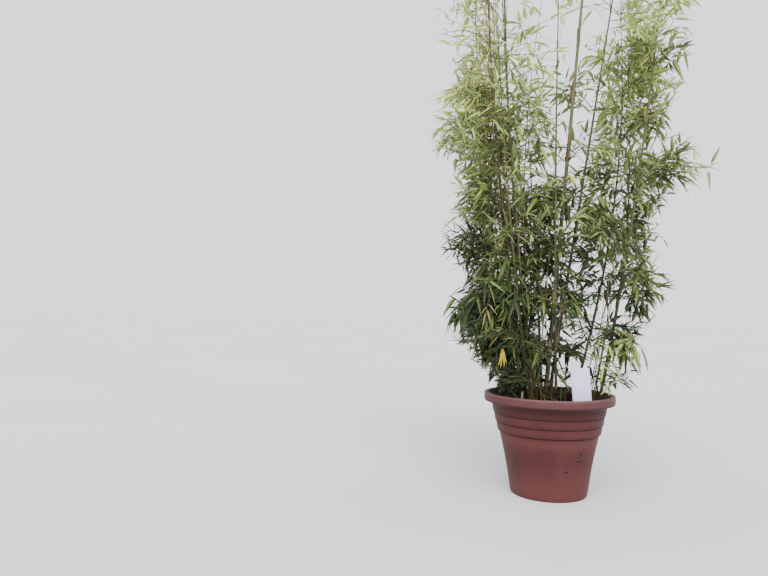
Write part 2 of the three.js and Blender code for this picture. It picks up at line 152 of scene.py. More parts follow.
class Finish:
    """A node material under construction: its shader, and short ways to add and join nodes."""

    def __init__(self, name, roughness, specular=0.5):
        self.material = bpy.data.materials.new(name)
        self.material.use_nodes = True
        self.tree = self.material.node_tree
        self.shader = self.tree.nodes["Principled BSDF"]
        self.shader.inputs["Roughness"].default_value = roughness
        self.shader.inputs["Specular IOR Level"].default_value = specular
        self.place = self.add("ShaderNodeTexCoord").outputs["Object"]

    def add(self, kind, **values):
        """A new node of a kind, with its properties or inputs set."""
        node = self.tree.nodes.new(kind)
        for key, value in values.items():
            if hasattr(node, key):
                setattr(node, key, value)
            else:
                node.inputs[key.replace("_", " ")].default_value = value
        return node

    def join(self, source, target):
        """A link from a node's output to an input."""
        self.tree.links.new(source, target)

    def feed(self, sockets, values):
        """Fills each input: with a link where the value is a node's output, and else with the value."""
        for socket, value in zip(sockets, values):
            if isinstance(value, bpy.types.NodeSocket):
                self.join(value, socket)
            else:
                socket.default_value = (*value, 1) if isinstance(value, tuple) else value

    def stretched(self, scale, shift=(0, 0, 0)):
        """The object's own coordinates, scaled and then shifted along each axis."""
        mapping = self.add("ShaderNodeMapping", Scale=scale, Location=shift)
        self.join(self.place, mapping.inputs["Vector"])
        return mapping.outputs["Vector"]

    def attribute(self, name):
        """The three parts of a value that the mesh holds for each corner."""
        node = self.add("ShaderNodeAttribute", attribute_name=name)
        return self.parts(node.outputs["Vector"])

    def parts(self, vector):
        """The three parts of a vector, as separate outputs."""
        node = self.add("ShaderNodeSeparateXYZ")
        self.join(vector, node.inputs[0])
        return list(node.outputs)

    def spot(self, place, size):
        """1 inside an ellipsoid at a place with half-widths of a size, fading to 0 at its skin."""
        shift = [-middle / half for middle, half in zip(place, size)]
        length = self.add("ShaderNodeVectorMath", operation="LENGTH")
        self.join(self.stretched([1 / half for half in size], shift), length.inputs[0])
        return self.ramp(length.outputs["Value"], [(0.45, 1.0), (1.0, 0.0)])

    def noise(self, scale, detail=4.0, roughness=0.55, place=None):
        """Soft cloudy values around one half, in the object's own coordinates or in others."""
        node = self.add("ShaderNodeTexNoise", Scale=scale, Detail=detail, Roughness=roughness)
        self.join(place or self.place, node.inputs["Vector"])
        return node.outputs["Fac"]

    def ramp(self, value, stops):
        """A value turned into colours or greys by stops of (place, red, green, blue)."""
        node = self.add("ShaderNodeValToRGB")
        band = node.color_ramp
        while len(band.elements) < len(stops):
            band.elements.new(0.5)
        for element, (place, *colour) in zip(band.elements, stops):
            element.position = place
            element.color = (*colour, 1) if len(colour) == 3 else (colour[0],) * 3 + (1,)
        self.join(value, node.inputs["Fac"])
        return node.outputs["Color"]

    def mix(self, share, first, second):
        """Two colours mixed by a share. Each of the three may be fixed or a node's output."""
        node = self.add("ShaderNodeMix", data_type="RGBA")
        self.feed((node.inputs[0], node.inputs[6], node.inputs[7]), (share, first, second))
        return node.outputs[2]

    def figure(self, kind, *values):
        """A number worked out from others by a kind of sum."""
        node = self.add("ShaderNodeMath", operation=kind)
        self.feed(node.inputs, values)
        return node.outputs[0]

    def bump(self, height, strength, distance):
        """Fine relief from a height, which is at most a distance in metres."""
        node = self.add("ShaderNodeBump", Strength=strength, Distance=distance)
        self.join(height, node.inputs["Height"])
        self.join(node.outputs["Normal"], self.shader.inputs["Normal"])

    def colour(self, source):
        """The surface's colour, from a node's output."""
        self.join(source, self.shader.inputs["Base Color"])

    def roughness(self, source):
        """The surface's roughness, from a node's output."""
        self.join(source, self.shader.inputs["Roughness"])

    def grained(self, grain, stops, strength, distance):
        """A colour that follows a grain by stops, and relief from the same grain."""
        self.colour(self.ramp(grain, stops))
        self.bump(grain, strength, distance)


POT_HEIGHT = 295
RIM_RADIUS = 190
LIP_DEPTH = 25
LIP_WIDTH = 13
WALL = 4
FLOOR = 5
FOOT_RADIUS = 113
FOOT_EDGE = 4
FOOT_EDGE_RISE = 12
BODY_TOP = 180
BODY_TOP_RADIUS = 144.5
BODY_HOLLOW = 2.5
BAND_COUNT = 3
BAND_LOW_RADIUS = 150
BAND_STEP = 6.5
BAND_FLARE = 4
BAND_EDGE = 3
GROOVE_DEPTH = 1.7
NECK = 6
EDGE_EASE = 3.0
POT_STRETCH = 12
POT_SIDES = 160
CREASE_GRIME_AND_SHADE = 0.85
CREASE_WIDTH = 3.4

body_share = np.linspace(0, 1, 9)
body_radius = FOOT_RADIUS + (BODY_TOP_RADIUS - FOOT_RADIUS) * body_share
body_radius -= BODY_HOLLOW * np.sin(np.pi * body_share)
body = np.stack([body_radius, FOOT_EDGE_RISE + (BODY_TOP - FOOT_EDGE_RISE) * body_share], -1)
bands_top = POT_HEIGHT - LIP_DEPTH - NECK
band_height = (bands_top - BODY_TOP - BAND_EDGE) / BAND_COUNT
band_number = np.arange(BAND_COUNT)
band_radius = BAND_LOW_RADIUS + BAND_STEP * band_number
band_low = BODY_TOP + BAND_EDGE + band_height * band_number
face_below = np.append(BODY_TOP_RADIUS, band_radius[:-1] + BAND_FLARE)
bands = np.stack([
    np.stack([face_below - GROOVE_DEPTH, band_low - 0.4], -1),
    np.stack([band_radius, band_low], -1),
    np.stack([band_radius + BAND_FLARE, band_low + band_height - BAND_EDGE], -1),
], axis=1).reshape(-1, 2)
lip_low = POT_HEIGHT - LIP_DEPTH
lip = np.array([
    [RIM_RADIUS - 9, bands_top + NECK + 3],
    [RIM_RADIUS - 8, lip_low],
    [RIM_RADIUS - 1, lip_low],
    [RIM_RADIUS, lip_low + 8],
    [RIM_RADIUS, POT_HEIGHT - 4],
    [RIM_RADIUS - 2, POT_HEIGHT],
    [RIM_RADIUS - LIP_WIDTH, POT_HEIGHT],
    [RIM_RADIUS - LIP_WIDTH - 2.5, POT_HEIGHT - 10],
])
inside = np.array([
    [BAND_LOW_RADIUS + BAND_STEP * 2 + BAND_FLARE - WALL, bands_top],
    [BAND_LOW_RADIUS - 7, BODY_TOP + 2 * BAND_EDGE],
    [(BODY_TOP_RADIUS + FOOT_RADIUS) / 2 - BODY_HOLLOW - WALL, (BODY_TOP + FOOT_EDGE_RISE) / 2],
    [FOOT_RADIUS - WALL, FOOT_EDGE_RISE],
    [FOOT_RADIUS - WALL - FOOT_EDGE, FLOOR],
])
foot = np.array([[0, 0], [FOOT_RADIUS - FOOT_EDGE, 0]])
pot_profile = np.concatenate([foot, body, bands, lip, inside, [[0, FLOOR]]])
pot_profile = divided(rounded(pot_profile, EDGE_EASE), POT_STRETCH)

# The creases at the bands' feet and under the lip are darkened with grime and with painted shade, fading
# within a few mm.
from_crease = np.abs(pot_profile[:, 1:] - np.append(band_low, lip_low)).min(1)
outside = np.arange(len(pot_profile)) < pot_profile[:, 1].argmax()
grime_and_shade_share = CREASE_GRIME_AND_SHADE * np.exp(-(from_crease / CREASE_WIDTH) ** 2) * outside
pot_grime_and_shade = to_corners(np.stack([grime_and_shade_share, 0 * grime_and_shade_share, 0 * grime_and_shade_share], -1)[1:-1], POT_SIDES)

PLASTIC = (0.057, 0.0128, 0.0120)
PLASTIC_PALE = (0.088, 0.0240, 0.0228)
# Dark grime, also used as painted shade in the creases and under the lip.
PLASTIC_GRIME_AND_SHADE = (0.030, 0.0050, 0.0044)
SMUDGE = (0.010, 0.0036, 0.0034)
DUST = (0.092, 0.038, 0.041)
# Pale dust on the rim's top edge, which also serves as a painted highlight there.
EDGE_DUST_AND_HIGHLIGHT = (0.210, 0.115, 0.118)
SCUFFS = [
    ((0.0600, -0.1205, 0.1368), (0.0068, 0.0200, 0.0050)),
    ((0.0543, -0.1187, 0.1180), (0.0120, 0.0200, 0.0030)),
    ((0.0480, -0.1200, 0.1300), (0.0050, 0.0200, 0.0022)),
    ((0.0171, -0.1237, 0.0888), (0.0080, 0.0200, 0.0034)),
]
terracotta = Finish("terracotta_plastic", 0.7, 0.25)
clouds = terracotta.noise(7.0, 5.0, 0.6)
streaks = terracotta.noise(26.0, 3.0, 0.6, terracotta.stretched((1, 1, 0.2)))
worn = terracotta.figure("MULTIPLY", clouds, streaks)
patches = terracotta.ramp(clouds, [(0.3, 0.3), (0.6, 1.0)])
specks = terracotta.ramp(terracotta.noise(260.0, 2.0, 0.7), [(0.35, 0.45), (0.7, 1.0)])
foot_dust = [(0.03, 0.85), (0.075, 0.0)]
rubbed = [(0.085, 0.0), (0.102, 0.34), (0.132, 0.28), (0.148, 0.0)]
below_bands = [(0.145, 0.0), (0.165, 0.85), (0.190, 0.15), (0.215, 0.0)]
# Painted shade: the band just under the lip is darkened where the lip shades it.
painted_shade_under_lip = [(0.228, 0.0), (0.256, 0.7), (0.2690, 0.8), (0.2705, 0.0)]
rim_dust = [(0.262, 0.0), (0.275, 0.6), (0.296, 0.9)]
# The top edge is paler with dust and wear, and with a painted highlight.
worn_edge_and_highlight = [(0.2915, 0.0), (0.2945, 0.8)]
height = terracotta.parts(terracotta.place)[2]
plastic = terracotta.mix(terracotta.ramp(worn, [(0.14, 0), (0.42, 1)]), PLASTIC, PLASTIC_PALE)
for stops, broken_by, tint in [
    (foot_dust, 1.0, PLASTIC_PALE), (rubbed, patches, PLASTIC_GRIME_AND_SHADE), (below_bands, 1.0, PLASTIC_PALE),
    (painted_shade_under_lip, 1.0, PLASTIC_GRIME_AND_SHADE), (rim_dust, specks, DUST), (worn_edge_and_highlight, specks, EDGE_DUST_AND_HIGHLIGHT),
]:
    share = terracotta.figure("MULTIPLY", terracotta.ramp(height, stops), broken_by)
    plastic = terracotta.mix(share, plastic, tint)
# Grime and painted shade in the creases.
plastic = terracotta.mix(terracotta.attribute("crease_dirt_and_shade")[0], plastic, PLASTIC_GRIME_AND_SHADE)
for place, half_size in SCUFFS:
    plastic = terracotta.mix(terracotta.spot(place, half_size), plastic, SMUDGE)
terracotta.colour(plastic)
terracotta.roughness(terracotta.ramp(worn, [(0.15, 0.6), (0.5, 0.8)]))
terracotta.bump(terracotta.noise(420.0, 3.0, 0.6), 0.12, 0.0006)
pot_shape = turned(pot_profile, POT_SIDES)
add_piece("planter", pot_shape, terracotta.material, ["pot"], {"crease_dirt_and_shade": pot_grime_and_shade})


# The soil is moist dark potting compost of bark and peat. It is filled in to well below the rim, and its
# top is uneven and crumbly and rises a little to the wall.

SOIL_TOP = 235
SOIL_SIDES = 128
SOIL_ROWS = 70
SOIL_LIFT = 2.2
LEVEL_RADIUS = 127.5
WALL_SLOPE = 4 / 150
WAVES = [(90, 1.6), (41, 1.1), (19, 0.8), (9, 0.6), (4.6, 0.45)]
WAVE_TURN = 1.3
WAVE_SHIFT = 2.1
GAP = 0.3


def uneven(x, y):
    """Height of the soil's relief in mm at places in mm: waves of falling length and height, each with its
    crests in a direction turned on from the last."""
    total = np.zeros_like(x)
    for number, (length, height) in enumerate(WAVES):
        turn = WAVE_TURN * number
        across = 2 * np.pi * (x * math.cos(turn) + y * math.sin(turn)) / length
        upward = 2 * np.pi * (y * math.cos(turn) - x * math.sin(turn)) / length
        total += height * np.sin(across + number) * np.sin(upward + WAVE_SHIFT * number)
    return total


wall = inside[::-1] - np.array([GAP + 1, 0])
wall[0, 1] = FLOOR + GAP
edge_share = (SOIL_TOP - wall[-2, 1]) / (wall[-1, 1] - wall[-2, 1])
soil_edge = wall[-2] + (wall[-1] - wall[-2]) * edge_share
soil_top = np.stack([np.linspace(soil_edge[0], 0, SOIL_ROWS), np.full(SOIL_ROWS, SOIL_TOP)], -1)
soil_profile = np.concatenate([[[0, FLOOR + GAP]], wall[:-1], soil_top])
soil_corners, *soil_faces = turned(soil_profile, SOIL_SIDES)
on_top = soil_corners[:, 2] > SOIL_TOP - 1
from_middle = np.linalg.norm(soil_corners[:, :2], axis=1)
relief = SOIL_LIFT + uneven(*soil_corners.T[:2]) + WALL_SLOPE * np.maximum(from_middle - LEVEL_RADIUS, 0)
soil_corners[:, 2] += np.where(on_top, relief, 0)

PEAT = (0.012, 0.008, 0.006)
LOAM = (0.062, 0.038, 0.025)
FIBRE = (0.13, 0.085, 0.055)
compost = Finish("compost", 0.95, 0.2)
crumbs = compost.noise(170.0, 6.0, 0.7)
compost.grained(crumbs, [(0.3, *PEAT), (0.62, *LOAM), (0.8, *FIBRE)], 0.9, 0.003)
add_piece("compost", (soil_corners, *soil_faces), compost.material, ["soil"])


# The chips are split bits of dry bark, flat and blunt-ended. They lie scattered on the compost at all
# angles, and some stick out of it.

CHIPS = 520
CHIP_REACH = 146
CHIP_LIFT = 2.6
CHIP_SIDES = 6
CHIP_ROWS = np.array([-0.8, -0.3, 0.35, 0.85])
CHIP_SWELL = np.array([0.55, 1.0, 0.9, 0.5])
CHIP_KNOBS = (0.75, 1.2)
CHIP_LEAST = [3, 1.5, 0.8]
CHIP_MOST = [11, 5, 2.2]
CHIP_SLOPES = [1, 1, 0.25]
BARK_DARK = (0.03, 0.018, 0.011)
BARK_BROWN = (0.11, 0.068, 0.04)
BARK_PALE = (0.2, 0.14, 0.09)
UP = np.array([0.0, 0.0, 1.0])


def unit(vector):
    """The direction of a vector, at length 1."""
    return vector / np.linalg.norm(vector, axis=-1, keepdims=True)


chip_rng = np.random.default_rng(11)
chip_reach = CHIP_REACH * np.sqrt(chip_rng.uniform(0, 1, CHIPS))
chip_turn = chip_rng.uniform(0, 2 * np.pi, CHIPS)
chip_x, chip_y = chip_reach * np.cos(chip_turn), chip_reach * np.sin(chip_turn)
chip_middle = np.stack([chip_x, chip_y, SOIL_TOP + CHIP_LIFT + uneven(chip_x, chip_y)], -1)
chip_way = unit(chip_rng.normal(size=(CHIPS, 3)) * CHIP_SLOPES)
chip_side = unit(np.cross(UP, chip_way))
chip_size = chip_rng.uniform(CHIP_LEAST, CHIP_MOST, (CHIPS, 3))
chip_across = (chip_side * chip_size[:, 1:2])[:, None, None]
chip_face = (np.cross(chip_way, chip_side) * chip_size[:, 2:3])[:, None, None]
chip_way = chip_way * chip_size[:, :1]
chip_angle = np.linspace(0, 2 * np.pi, CHIP_SIDES, endpoint=False)[:, None]
chip_knobs = chip_rng.uniform(*CHIP_KNOBS, (CHIPS, len(CHIP_ROWS), CHIP_SIDES, 1))
chip_round = chip_across * np.cos(chip_angle) + chip_face * np.sin(chip_angle)
chip_line = chip_middle[:, None] + chip_way[:, None] * CHIP_ROWS[:, None]
chip_rings = chip_line[:, :, None] + chip_round * CHIP_SWELL[:, None, None] * chip_knobs
bark = Finish("bark_chips", 0.9, 0.2)
bark_grain = bark.noise(90.0, 4.0, 0.6)
bark.colour(bark.ramp(bark_grain, [(0.3, *BARK_DARK), (0.6, *BARK_BROWN), (0.8, *BARK_PALE)]))
bark.bump(bark.noise(500.0, 3.0, 0.6), 0.5, 0.001)
chip_shape = sleeves(chip_rings, chip_middle - chip_way, chip_middle + chip_way)
add_piece("bark_chips", chip_shape, bark.material)


# The card is a bare white tag of thin plastic-coated card. It is stuck upright in the soil behind the
# front rim, leans a little to one side, is slightly bowed, and is splashed with soil at its foot.

CARD_WIDTH = 52
CARD_HEIGHT = 142
CARD_THICK = 0.8
CARD_PLACE = (70, -112)
CARD_LEAN = math.radians(4.3)
CARD_TURN = math.radians(-8)
CARD_CORNER = 2.5
CARD_BOW = 0.9
CARD_CURL = 0.8
CARD_COLUMNS = 14
CARD_ROWS = 28
CARD_CORNER_ROWS = 7
# The card's whites are tinted lavender: the cool cast of the light painted into its colour. They vary at
# random with the fibres.
CARD_WHITE_WITH_PAINTED_COOL_LIGHT = (0.79, 0.74, 1.0)
CARD_DULLER_WITH_PAINTED_COOL_LIGHT = (0.73, 0.68, 0.97)
SPLASH = (0.12, 0.085, 0.06)

corner_rise = CARD_CORNER * (1 - np.cos(np.linspace(0, np.pi / 2, CARD_CORNER_ROWS)))
straight_rise = np.linspace(CARD_CORNER, CARD_HEIGHT - CARD_CORNER, CARD_ROWS + 2)[1:-1]
card_rise = np.concatenate([corner_rise, straight_rise, CARD_HEIGHT - corner_rise[::-1]])
from_end = np.minimum(card_rise, CARD_HEIGHT - card_rise)
into_corner = np.clip(CARD_CORNER - from_end, 0, None)
cut_back = CARD_CORNER - np.sqrt(np.maximum(CARD_CORNER ** 2 - into_corner ** 2, 0))
half = CARD_WIDTH / 2 - cut_back
over = np.linspace(-1, 1, CARD_COLUMNS)
side_x = np.concatenate([over, over[::-1]])[None] * half[:, None]
front = np.repeat([-0.5, 0.5], CARD_COLUMNS)[None] * CARD_THICK
curl = CARD_CURL * np.sin(np.pi * card_rise / CARD_HEIGHT)[:, None]
bow = CARD_BOW * (side_x / CARD_WIDTH * 2) ** 2 + curl
card_rings = np.stack([side_x, front + bow, card_rise[:, None] + 0 * side_x], -1)
card_stand = Matrix.Rotation(CARD_TURN, 3, "Z") @ Matrix.Rotation(-CARD_LEAN, 3, "Y")
card_foot = np.array([*CARD_PLACE, SOIL_TOP + GAP + CARD_WIDTH / 2 * math.sin(CARD_LEAN)])
card_ends = np.array([[[0, 0, 0]], [[0, 0, CARD_HEIGHT]]])
card_corners, *card_faces = sleeves(card_rings[None], *card_ends)
card_corners = card_corners @ np.array(card_stand).T + card_foot
coated = Finish("coated_card", 0.42, 0.5)
fibres = coated.noise(60.0, 5.0, 0.6)
soiled = coated.ramp(coated.parts(coated.place)[2], [(0.235, 0.75), (0.262, 0.12), (0.3, 0.0)])
clean = coated.ramp(fibres, [(0.3, *CARD_DULLER_WITH_PAINTED_COOL_LIGHT), (0.7, *CARD_WHITE_WITH_PAINTED_COOL_LIGHT)])
drops = coated.ramp(coated.noise(220.0, 4.0, 0.7), [(0.4, 0.0), (0.6, 1.0)])
coated.colour(coated.mix(coated.figure("MULTIPLY", soiled, drops), clean, SPLASH))
coated.bump(fibres, 0.05, 0.0005)
add_piece("card_sheet", (card_corners, *card_faces), coated.material, ["card"])


# The canes are hollow bamboo stems, hard, round and smooth, rooted in the soil. Every ring is a low ridge
# with the thin scar of a fallen sheath just under it and a band of pale wax below that. Each cane tapers
# and bends over to its tip.

CULMS = [
    ("middle", (-22, -30), (0.085, -0.02), (150, -60), 2020, 6.8, 0.17, "olive"),
    ("brown", (2, 30), (0.165, 0.03), (300, 120), 1720, 5.0, 0.15, "brown"),
    ("left_tall", (-55, 5), (-0.17, 0), (-190, 20), 2000, 5.5, 0.12, "olive"),
    ("left_inner", (-40, -25), (-0.15, -0.03), (-160, -120), 1860, 5.0, 0.05, "green"),
    ("left_outer", (-72, 40), (-0.19, 0.07), (-210, 160), 1500, 4.5, 0.06, "green"),
    ("left_front", (-70, -70), (-0.16, -0.16), (-200, -230), 1020, 3.8, 0.06, "green"),
    ("left_thin", (-32, 60), (-0.1, 0.06), (-120, 200), 1720, 3.4, 0.12, "green"),
    ("middle_thin", (-18, 85), (-0.11, 0.08), (60, 260), 1500, 3.0, 0.15, "green"),
    ("right_tall", (128, -45), (0.19, -0.05), (310, -130), 1520, 4.8, 0.06, "green"),
    ("right_low", (138, -15), (0.26, 0.03), (250, 40), 1100, 3.8, 0.06, "green"),
    ("right_back", (80, 55), (0.33, 0.08), (300, 230), 1380, 4.4, 0.1, "brown"),
    ("back", (10, 110), (0, 0.16), (-20, 310), 1250, 4.0, 0.08, "green"),
    ("front", (4, -72), (-0.05, -0.12), (-40, -250), 1300, 4.0, 0.08, "green"),
]
KEYS = ("name", "foot", "slope", "tip", "height", "radius", "bare", "kind")
culms = [dict(zip(KEYS, row)) for row in CULMS]
CULM_END = 0.8
TIP_TAPER = 0.22
TAPER_POWER = 1.3
HEADING_STEP = 0.01
INTERNODE = 135
INTERNODE_SWING = 0.3
FOOT_SWELL = 0.25
FOOT_SWELL_RISE = 20
CULM_SIDES = 16
CULM_STRETCH = 16
SCAR_BROWN = (0.05, 0.032, 0.02)
RING_SPAN = 40.0


def culm_point(culm, t):
    """The middle line: a curve from its slope at the soil to its tip, t running from 0 to 1."""
    t = np.asarray(t, float)[..., None]
    foot, slope, tip = (np.array(culm[key], float) for key in ("foot", "slope", "tip"))
    swing = t * (1 - t) * culm["height"]
    level = foot * (1 - t * t) + slope * swing + tip * t * t
    return np.concatenate([level, SOIL_TOP + GAP + culm["height"] * t], axis=-1)


def culm_heading(culm, t):
    """The direction of the middle line, from a place just below to one just above."""
    return unit(culm_point(culm, t + HEADING_STEP) - culm_point(culm, t - HEADING_STEP))


def culm_radius(culm, t):
    """The radius, which falls by a power of the way up to a share at the tip."""
    return culm["radius"] * (1 - (1 - TIP_TAPER) * np.power(t, TAPER_POWER))


def culm_rings(culm):
    """Shares of the height at which the rings lie, closer together at the foot and at the tip."""
    count = round(culm["height"] / INTERNODE)
    share = np.arange(1, count) / count
    return share - INTERNODE_SWING * np.sin(2 * np.pi * share) / (2 * np.pi)


def tubes(paths, radii, sides, sideways):
    """Sleeves of round section along paths. At each point the ring is square to the path, and its first
    corner lies towards the path's sideways direction, which is made square to the path there."""
    heading = np.empty_like(paths)
    heading[:, 1:-1] = paths[:, 2:] - paths[:, :-2]
    heading[:, 0] = paths[:, 1] - paths[:, 0]
    heading[:, -1] = paths[:, -1] - paths[:, -2]
    heading = unit(heading)
    level = unit(sideways[:, None] - heading * np.sum(heading * sideways[:, None], -1, keepdims=True))
    upright = np.cross(heading, level)
    turn = np.linspace(0, 2 * np.pi, sides, endpoint=False)[None, None, :, None]
    rings = paths[:, :, None] + radii[..., None, None] * (
        level[:, :, None] * np.cos(turn) + upright[:, :, None] * np.sin(turn))
    return sleeves(rings, paths[:, 0], paths[:, -1])


RING_CUTS = np.array([-14, -9, -6, -4.6, -3.8, -3.2, -2.6, -1.8, -0.8, 0.2, 1.2, 2.2, 3.4, 5, 8, 13])
FOOT_CUTS = np.array([0, 4, 9])
RIDGE = (0.12, 1.2, 2.0)
SCAR = (0.10, -3.2, 0.8)
JOINT = (0.05, 0.0, 7.0)
CANE_SIDEWAYS = np.array([[0.0, 1.0, 0.0]])


def cane_skin(culm, low, high):
    """A stretch of cane from one share of the height to another: its path, its radius, and for each point
    its distance to the nearest ring in mm and its share of the height. The radius swells at the foot, and
    at each ring by bell curves of a share, a place in mm above the ring, and a width."""
    rings = culm_rings(culm)
    cuts = np.concatenate([
        np.arange(low, high, CULM_STRETCH / culm["height"]),
        (rings[:, None] + RING_CUTS / culm["height"]).ravel(),
        low + FOOT_CUTS / culm["height"],
        [high],
    ])
    cuts = np.unique(np.round(cuts[(cuts >= low) & (cuts <= high)], 6))
    offset = (cuts[:, None] - rings) * culm["height"]
    nearest = np.take_along_axis(offset, np.abs(offset).argmin(1)[:, None], 1)[:, 0]
    swell = FOOT_SWELL * np.exp(-cuts * culm["height"] / (FOOT_SWELL_RISE / 2))
    for share, place, width in (RIDGE, SCAR, JOINT):
        swell += share * np.exp(-((nearest - place) / width) ** 2)
    radius = culm_radius(culm, cuts) * (1 + swell)
    return culm_point(culm, cuts), radius, np.stack([nearest, cuts, 0 * cuts], -1)


def cane_shape(culm, low, high, sides, point=1.0):
    """A stretch of cane as a tube, whose last ring has a share of its radius, and its skin's values."""
    path, radius, values = cane_skin(culm, low, high)
    radius[-1] *= point
    return tubes(path[None], radius[None], sides, CANE_SIDEWAYS), to_corners(values, sides)


def cane_finish(name, low_colour, high_colour, wax):
    """Smooth skin with fine lengthwise grain, a dark scar line and a pale waxy band below each ring. The
    bands are laid out over a span around the ring, from 0 at its lower end to 1 at its upper one."""
    cane = Finish(name, 0.42, 0.3)
    from_ring, share, _ = cane.attribute("skin")
    mottle = cane.noise(55.0, 4.0, 0.6, cane.stretched((1, 1, 0.25)))
    grain = cane.noise(900.0, 2.0, 0.5, cane.stretched((1, 1, 0.04)))
    rising = cane.mix(cane.ramp(share, [(0.2, 0.0), (0.42, 1.0)]), low_colour, high_colour)
    dark = tuple(0.5 * part for part in low_colour)
    skin_colour = cane.mix(cane.ramp(mottle, [(0.38, 0.0), (0.72, 0.75)]), rising, dark)
    beside_ring = cane.figure("DIVIDE", cane.figure("ADD", from_ring, RING_SPAN / 2), RING_SPAN)
    band = cane.ramp(beside_ring, [(0.12, 0.0), (0.3, 0.55), (0.41, 0.8), (0.425, 0.0)])
    waxed = cane.mix(band, skin_colour, wax)
    scar = cane.ramp(beside_ring, [(0.40, 0.0), (0.42, 1.0), (0.445, 0.9), (0.46, 0.0)])
    cane.colour(cane.mix(scar, waxed, SCAR_BROWN))
    cane.roughness(cane.ramp(beside_ring, [(0.1, 0.34), (0.4, 0.62), (0.43, 0.4)]))
    cane.bump(grain, 0.25, 0.0004)
    return cane.material


CANE_COLOURS = {
    "olive": ((0.040, 0.040, 0.014), (0.145, 0.120, 0.043), (0.17, 0.16, 0.10)),
    "brown": ((0.078, 0.042, 0.020), (0.135, 0.084, 0.036), (0.19, 0.15, 0.10)),
    "green": ((0.038, 0.046, 0.014), (0.096, 0.106, 0.032), (0.14, 0.155, 0.10)),
    "tan": ((0.125, 0.085, 0.036), (0.230, 0.165, 0.072), (0.32, 0.27, 0.18)),
}
cane_skins = {kind: cane_finish(f"{kind}_cane", *colours) for kind, colours in CANE_COLOURS.items()}
for culm in culms:
    name, skin = culm["name"], cane_skins[culm["kind"]]
    shape, values = cane_shape(culm, 0.0, CULM_END, CULM_SIDES)
    add_piece(f"cane_{name}", shape, skin, [f"culm_{name}"], {"skin": values})


# The young canes are last year's shoots, thinner and shorter, with skins still tan from their sheaths.
# Each rises from the soil close beside an older cane, and most stand in the bundle at the left.

YOUNG_CANES = [
    ("left_tall", (-9, -12), 0.88, 2.6), ("left_tall", (14, 12), 0.78, 2.4),
    ("left_tall", (-22, 8), 0.64, 2.2), ("left_tall", (12, -16), 0.72, 2.3),
    ("left_tall", (-16, -28), 0.5, 1.9), ("left_inner", (14, -20), 0.55, 2.1),
    ("left_inner", (-16, -10), 0.7, 2.3), ("left_outer", (14, -22), 0.66, 2.1),
    ("left_front", (16, 12), 0.7, 1.8), ("left_thin", (-12, -16), 0.6, 1.8),
    ("middle", (22, 12), 0.3, 1.8), ("middle", (-20, 16), 0.42, 2.0),
    ("right_tall", (-14, 8), 0.42, 2.1), ("right_tall", (-30, -8), 0.32, 1.7),
    ("right_low", (-18, 14), 0.6, 1.9), ("right_low", (-34, 2), 0.45, 1.7),
    ("right_back", (18, -16), 0.5, 2.0),
]
YOUNG_SIDES = 8
SPREAD_AT_TIP = 1.6
POINTED = 0.3


def young_cane(parent_name, offset, share, radius):
    """A shorter and thinner cane beside another: the same curve up to a share of the parent's height, moved
    by an offset at the foot and by a larger one at the tip."""
    parent = next(culm for culm in culms if culm["name"] == parent_name)
    foot = np.array(parent["foot"]) + offset
    tip = culm_point(parent, share)[:2] + np.array(offset) * SPREAD_AT_TIP
    return dict(parent, foot=foot, tip=tip, height=parent["height"] * share, radius=radius, kind="tan")


def joined(shapes):
    """Several shapes as one: the corners in a row, and the faces' corner numbers counted on."""
    starts = np.cumsum([0] + [len(corners) for corners, _, _ in shapes[:-1]])
    corners, quads, triangles = zip(*shapes)
    quads = np.concatenate([faces + start for faces, start in zip(quads, starts)])
    triangles = np.concatenate([faces + start for faces, start in zip(triangles, starts)])
    return np.concatenate(corners), quads, triangles


young_canes = [young_cane(*row) for row in YOUNG_CANES]
young_shapes, young_values = zip(*[cane_shape(culm, 0.0, 1.0, YOUNG_SIDES, POINTED) for culm in young_canes])
skin_values = {"skin": np.concatenate(young_values)}
add_piece("young_canes", joined(young_shapes), cane_skins["tan"], (), skin_values)


# The stub is an old dead cane, cut off short above the soil at the front left. It is hollow at the cut,
# dry and weathered grey, and leans a little.

STUB_PLACE = (-100, -80)
STUB_LEAN = 0.05
STUB_HEIGHT = 73
STUB_SIDES = 14
STUB_OUTLINE = [(0, 0), (3.8, 0), (3.2, 12), (3.1, 66), (2.8, 71), (1.7, 70.5), (1.6, 58), (0, 57)]
STUB_DARK = (0.20, 0.17, 0.13)
STUB_PALE = (0.46, 0.42, 0.36)

stub_profile = divided(np.array(STUB_OUTLINE), 6) * [1, STUB_HEIGHT / 71]
stub_corners, *stub_faces = turned(stub_profile, STUB_SIDES)
stub_corners = stub_corners + np.array([*STUB_PLACE, SOIL_TOP]) + stub_corners[:, 2:] * [STUB_LEAN, 0, 0]
dead_cane = Finish("dead_cane", 0.75, 0.3)
stub_grain = dead_cane.noise(500.0, 3.0, 0.6, dead_cane.stretched((1, 1, 0.08)))
dead_cane.grained(stub_grain, [(0.3, *STUB_DARK), (0.7, *STUB_PALE)], 0.3, 0.0005)
add_piece("cut_stub", (stub_corners, *stub_faces), dead_cane.material)


# The papery sheaths that wrapped the canes when they grew still cling above many rings. Each is a thin dry
# straw-brown wrap, widest at its ring and tapering to a tip that stands a little off the cane.

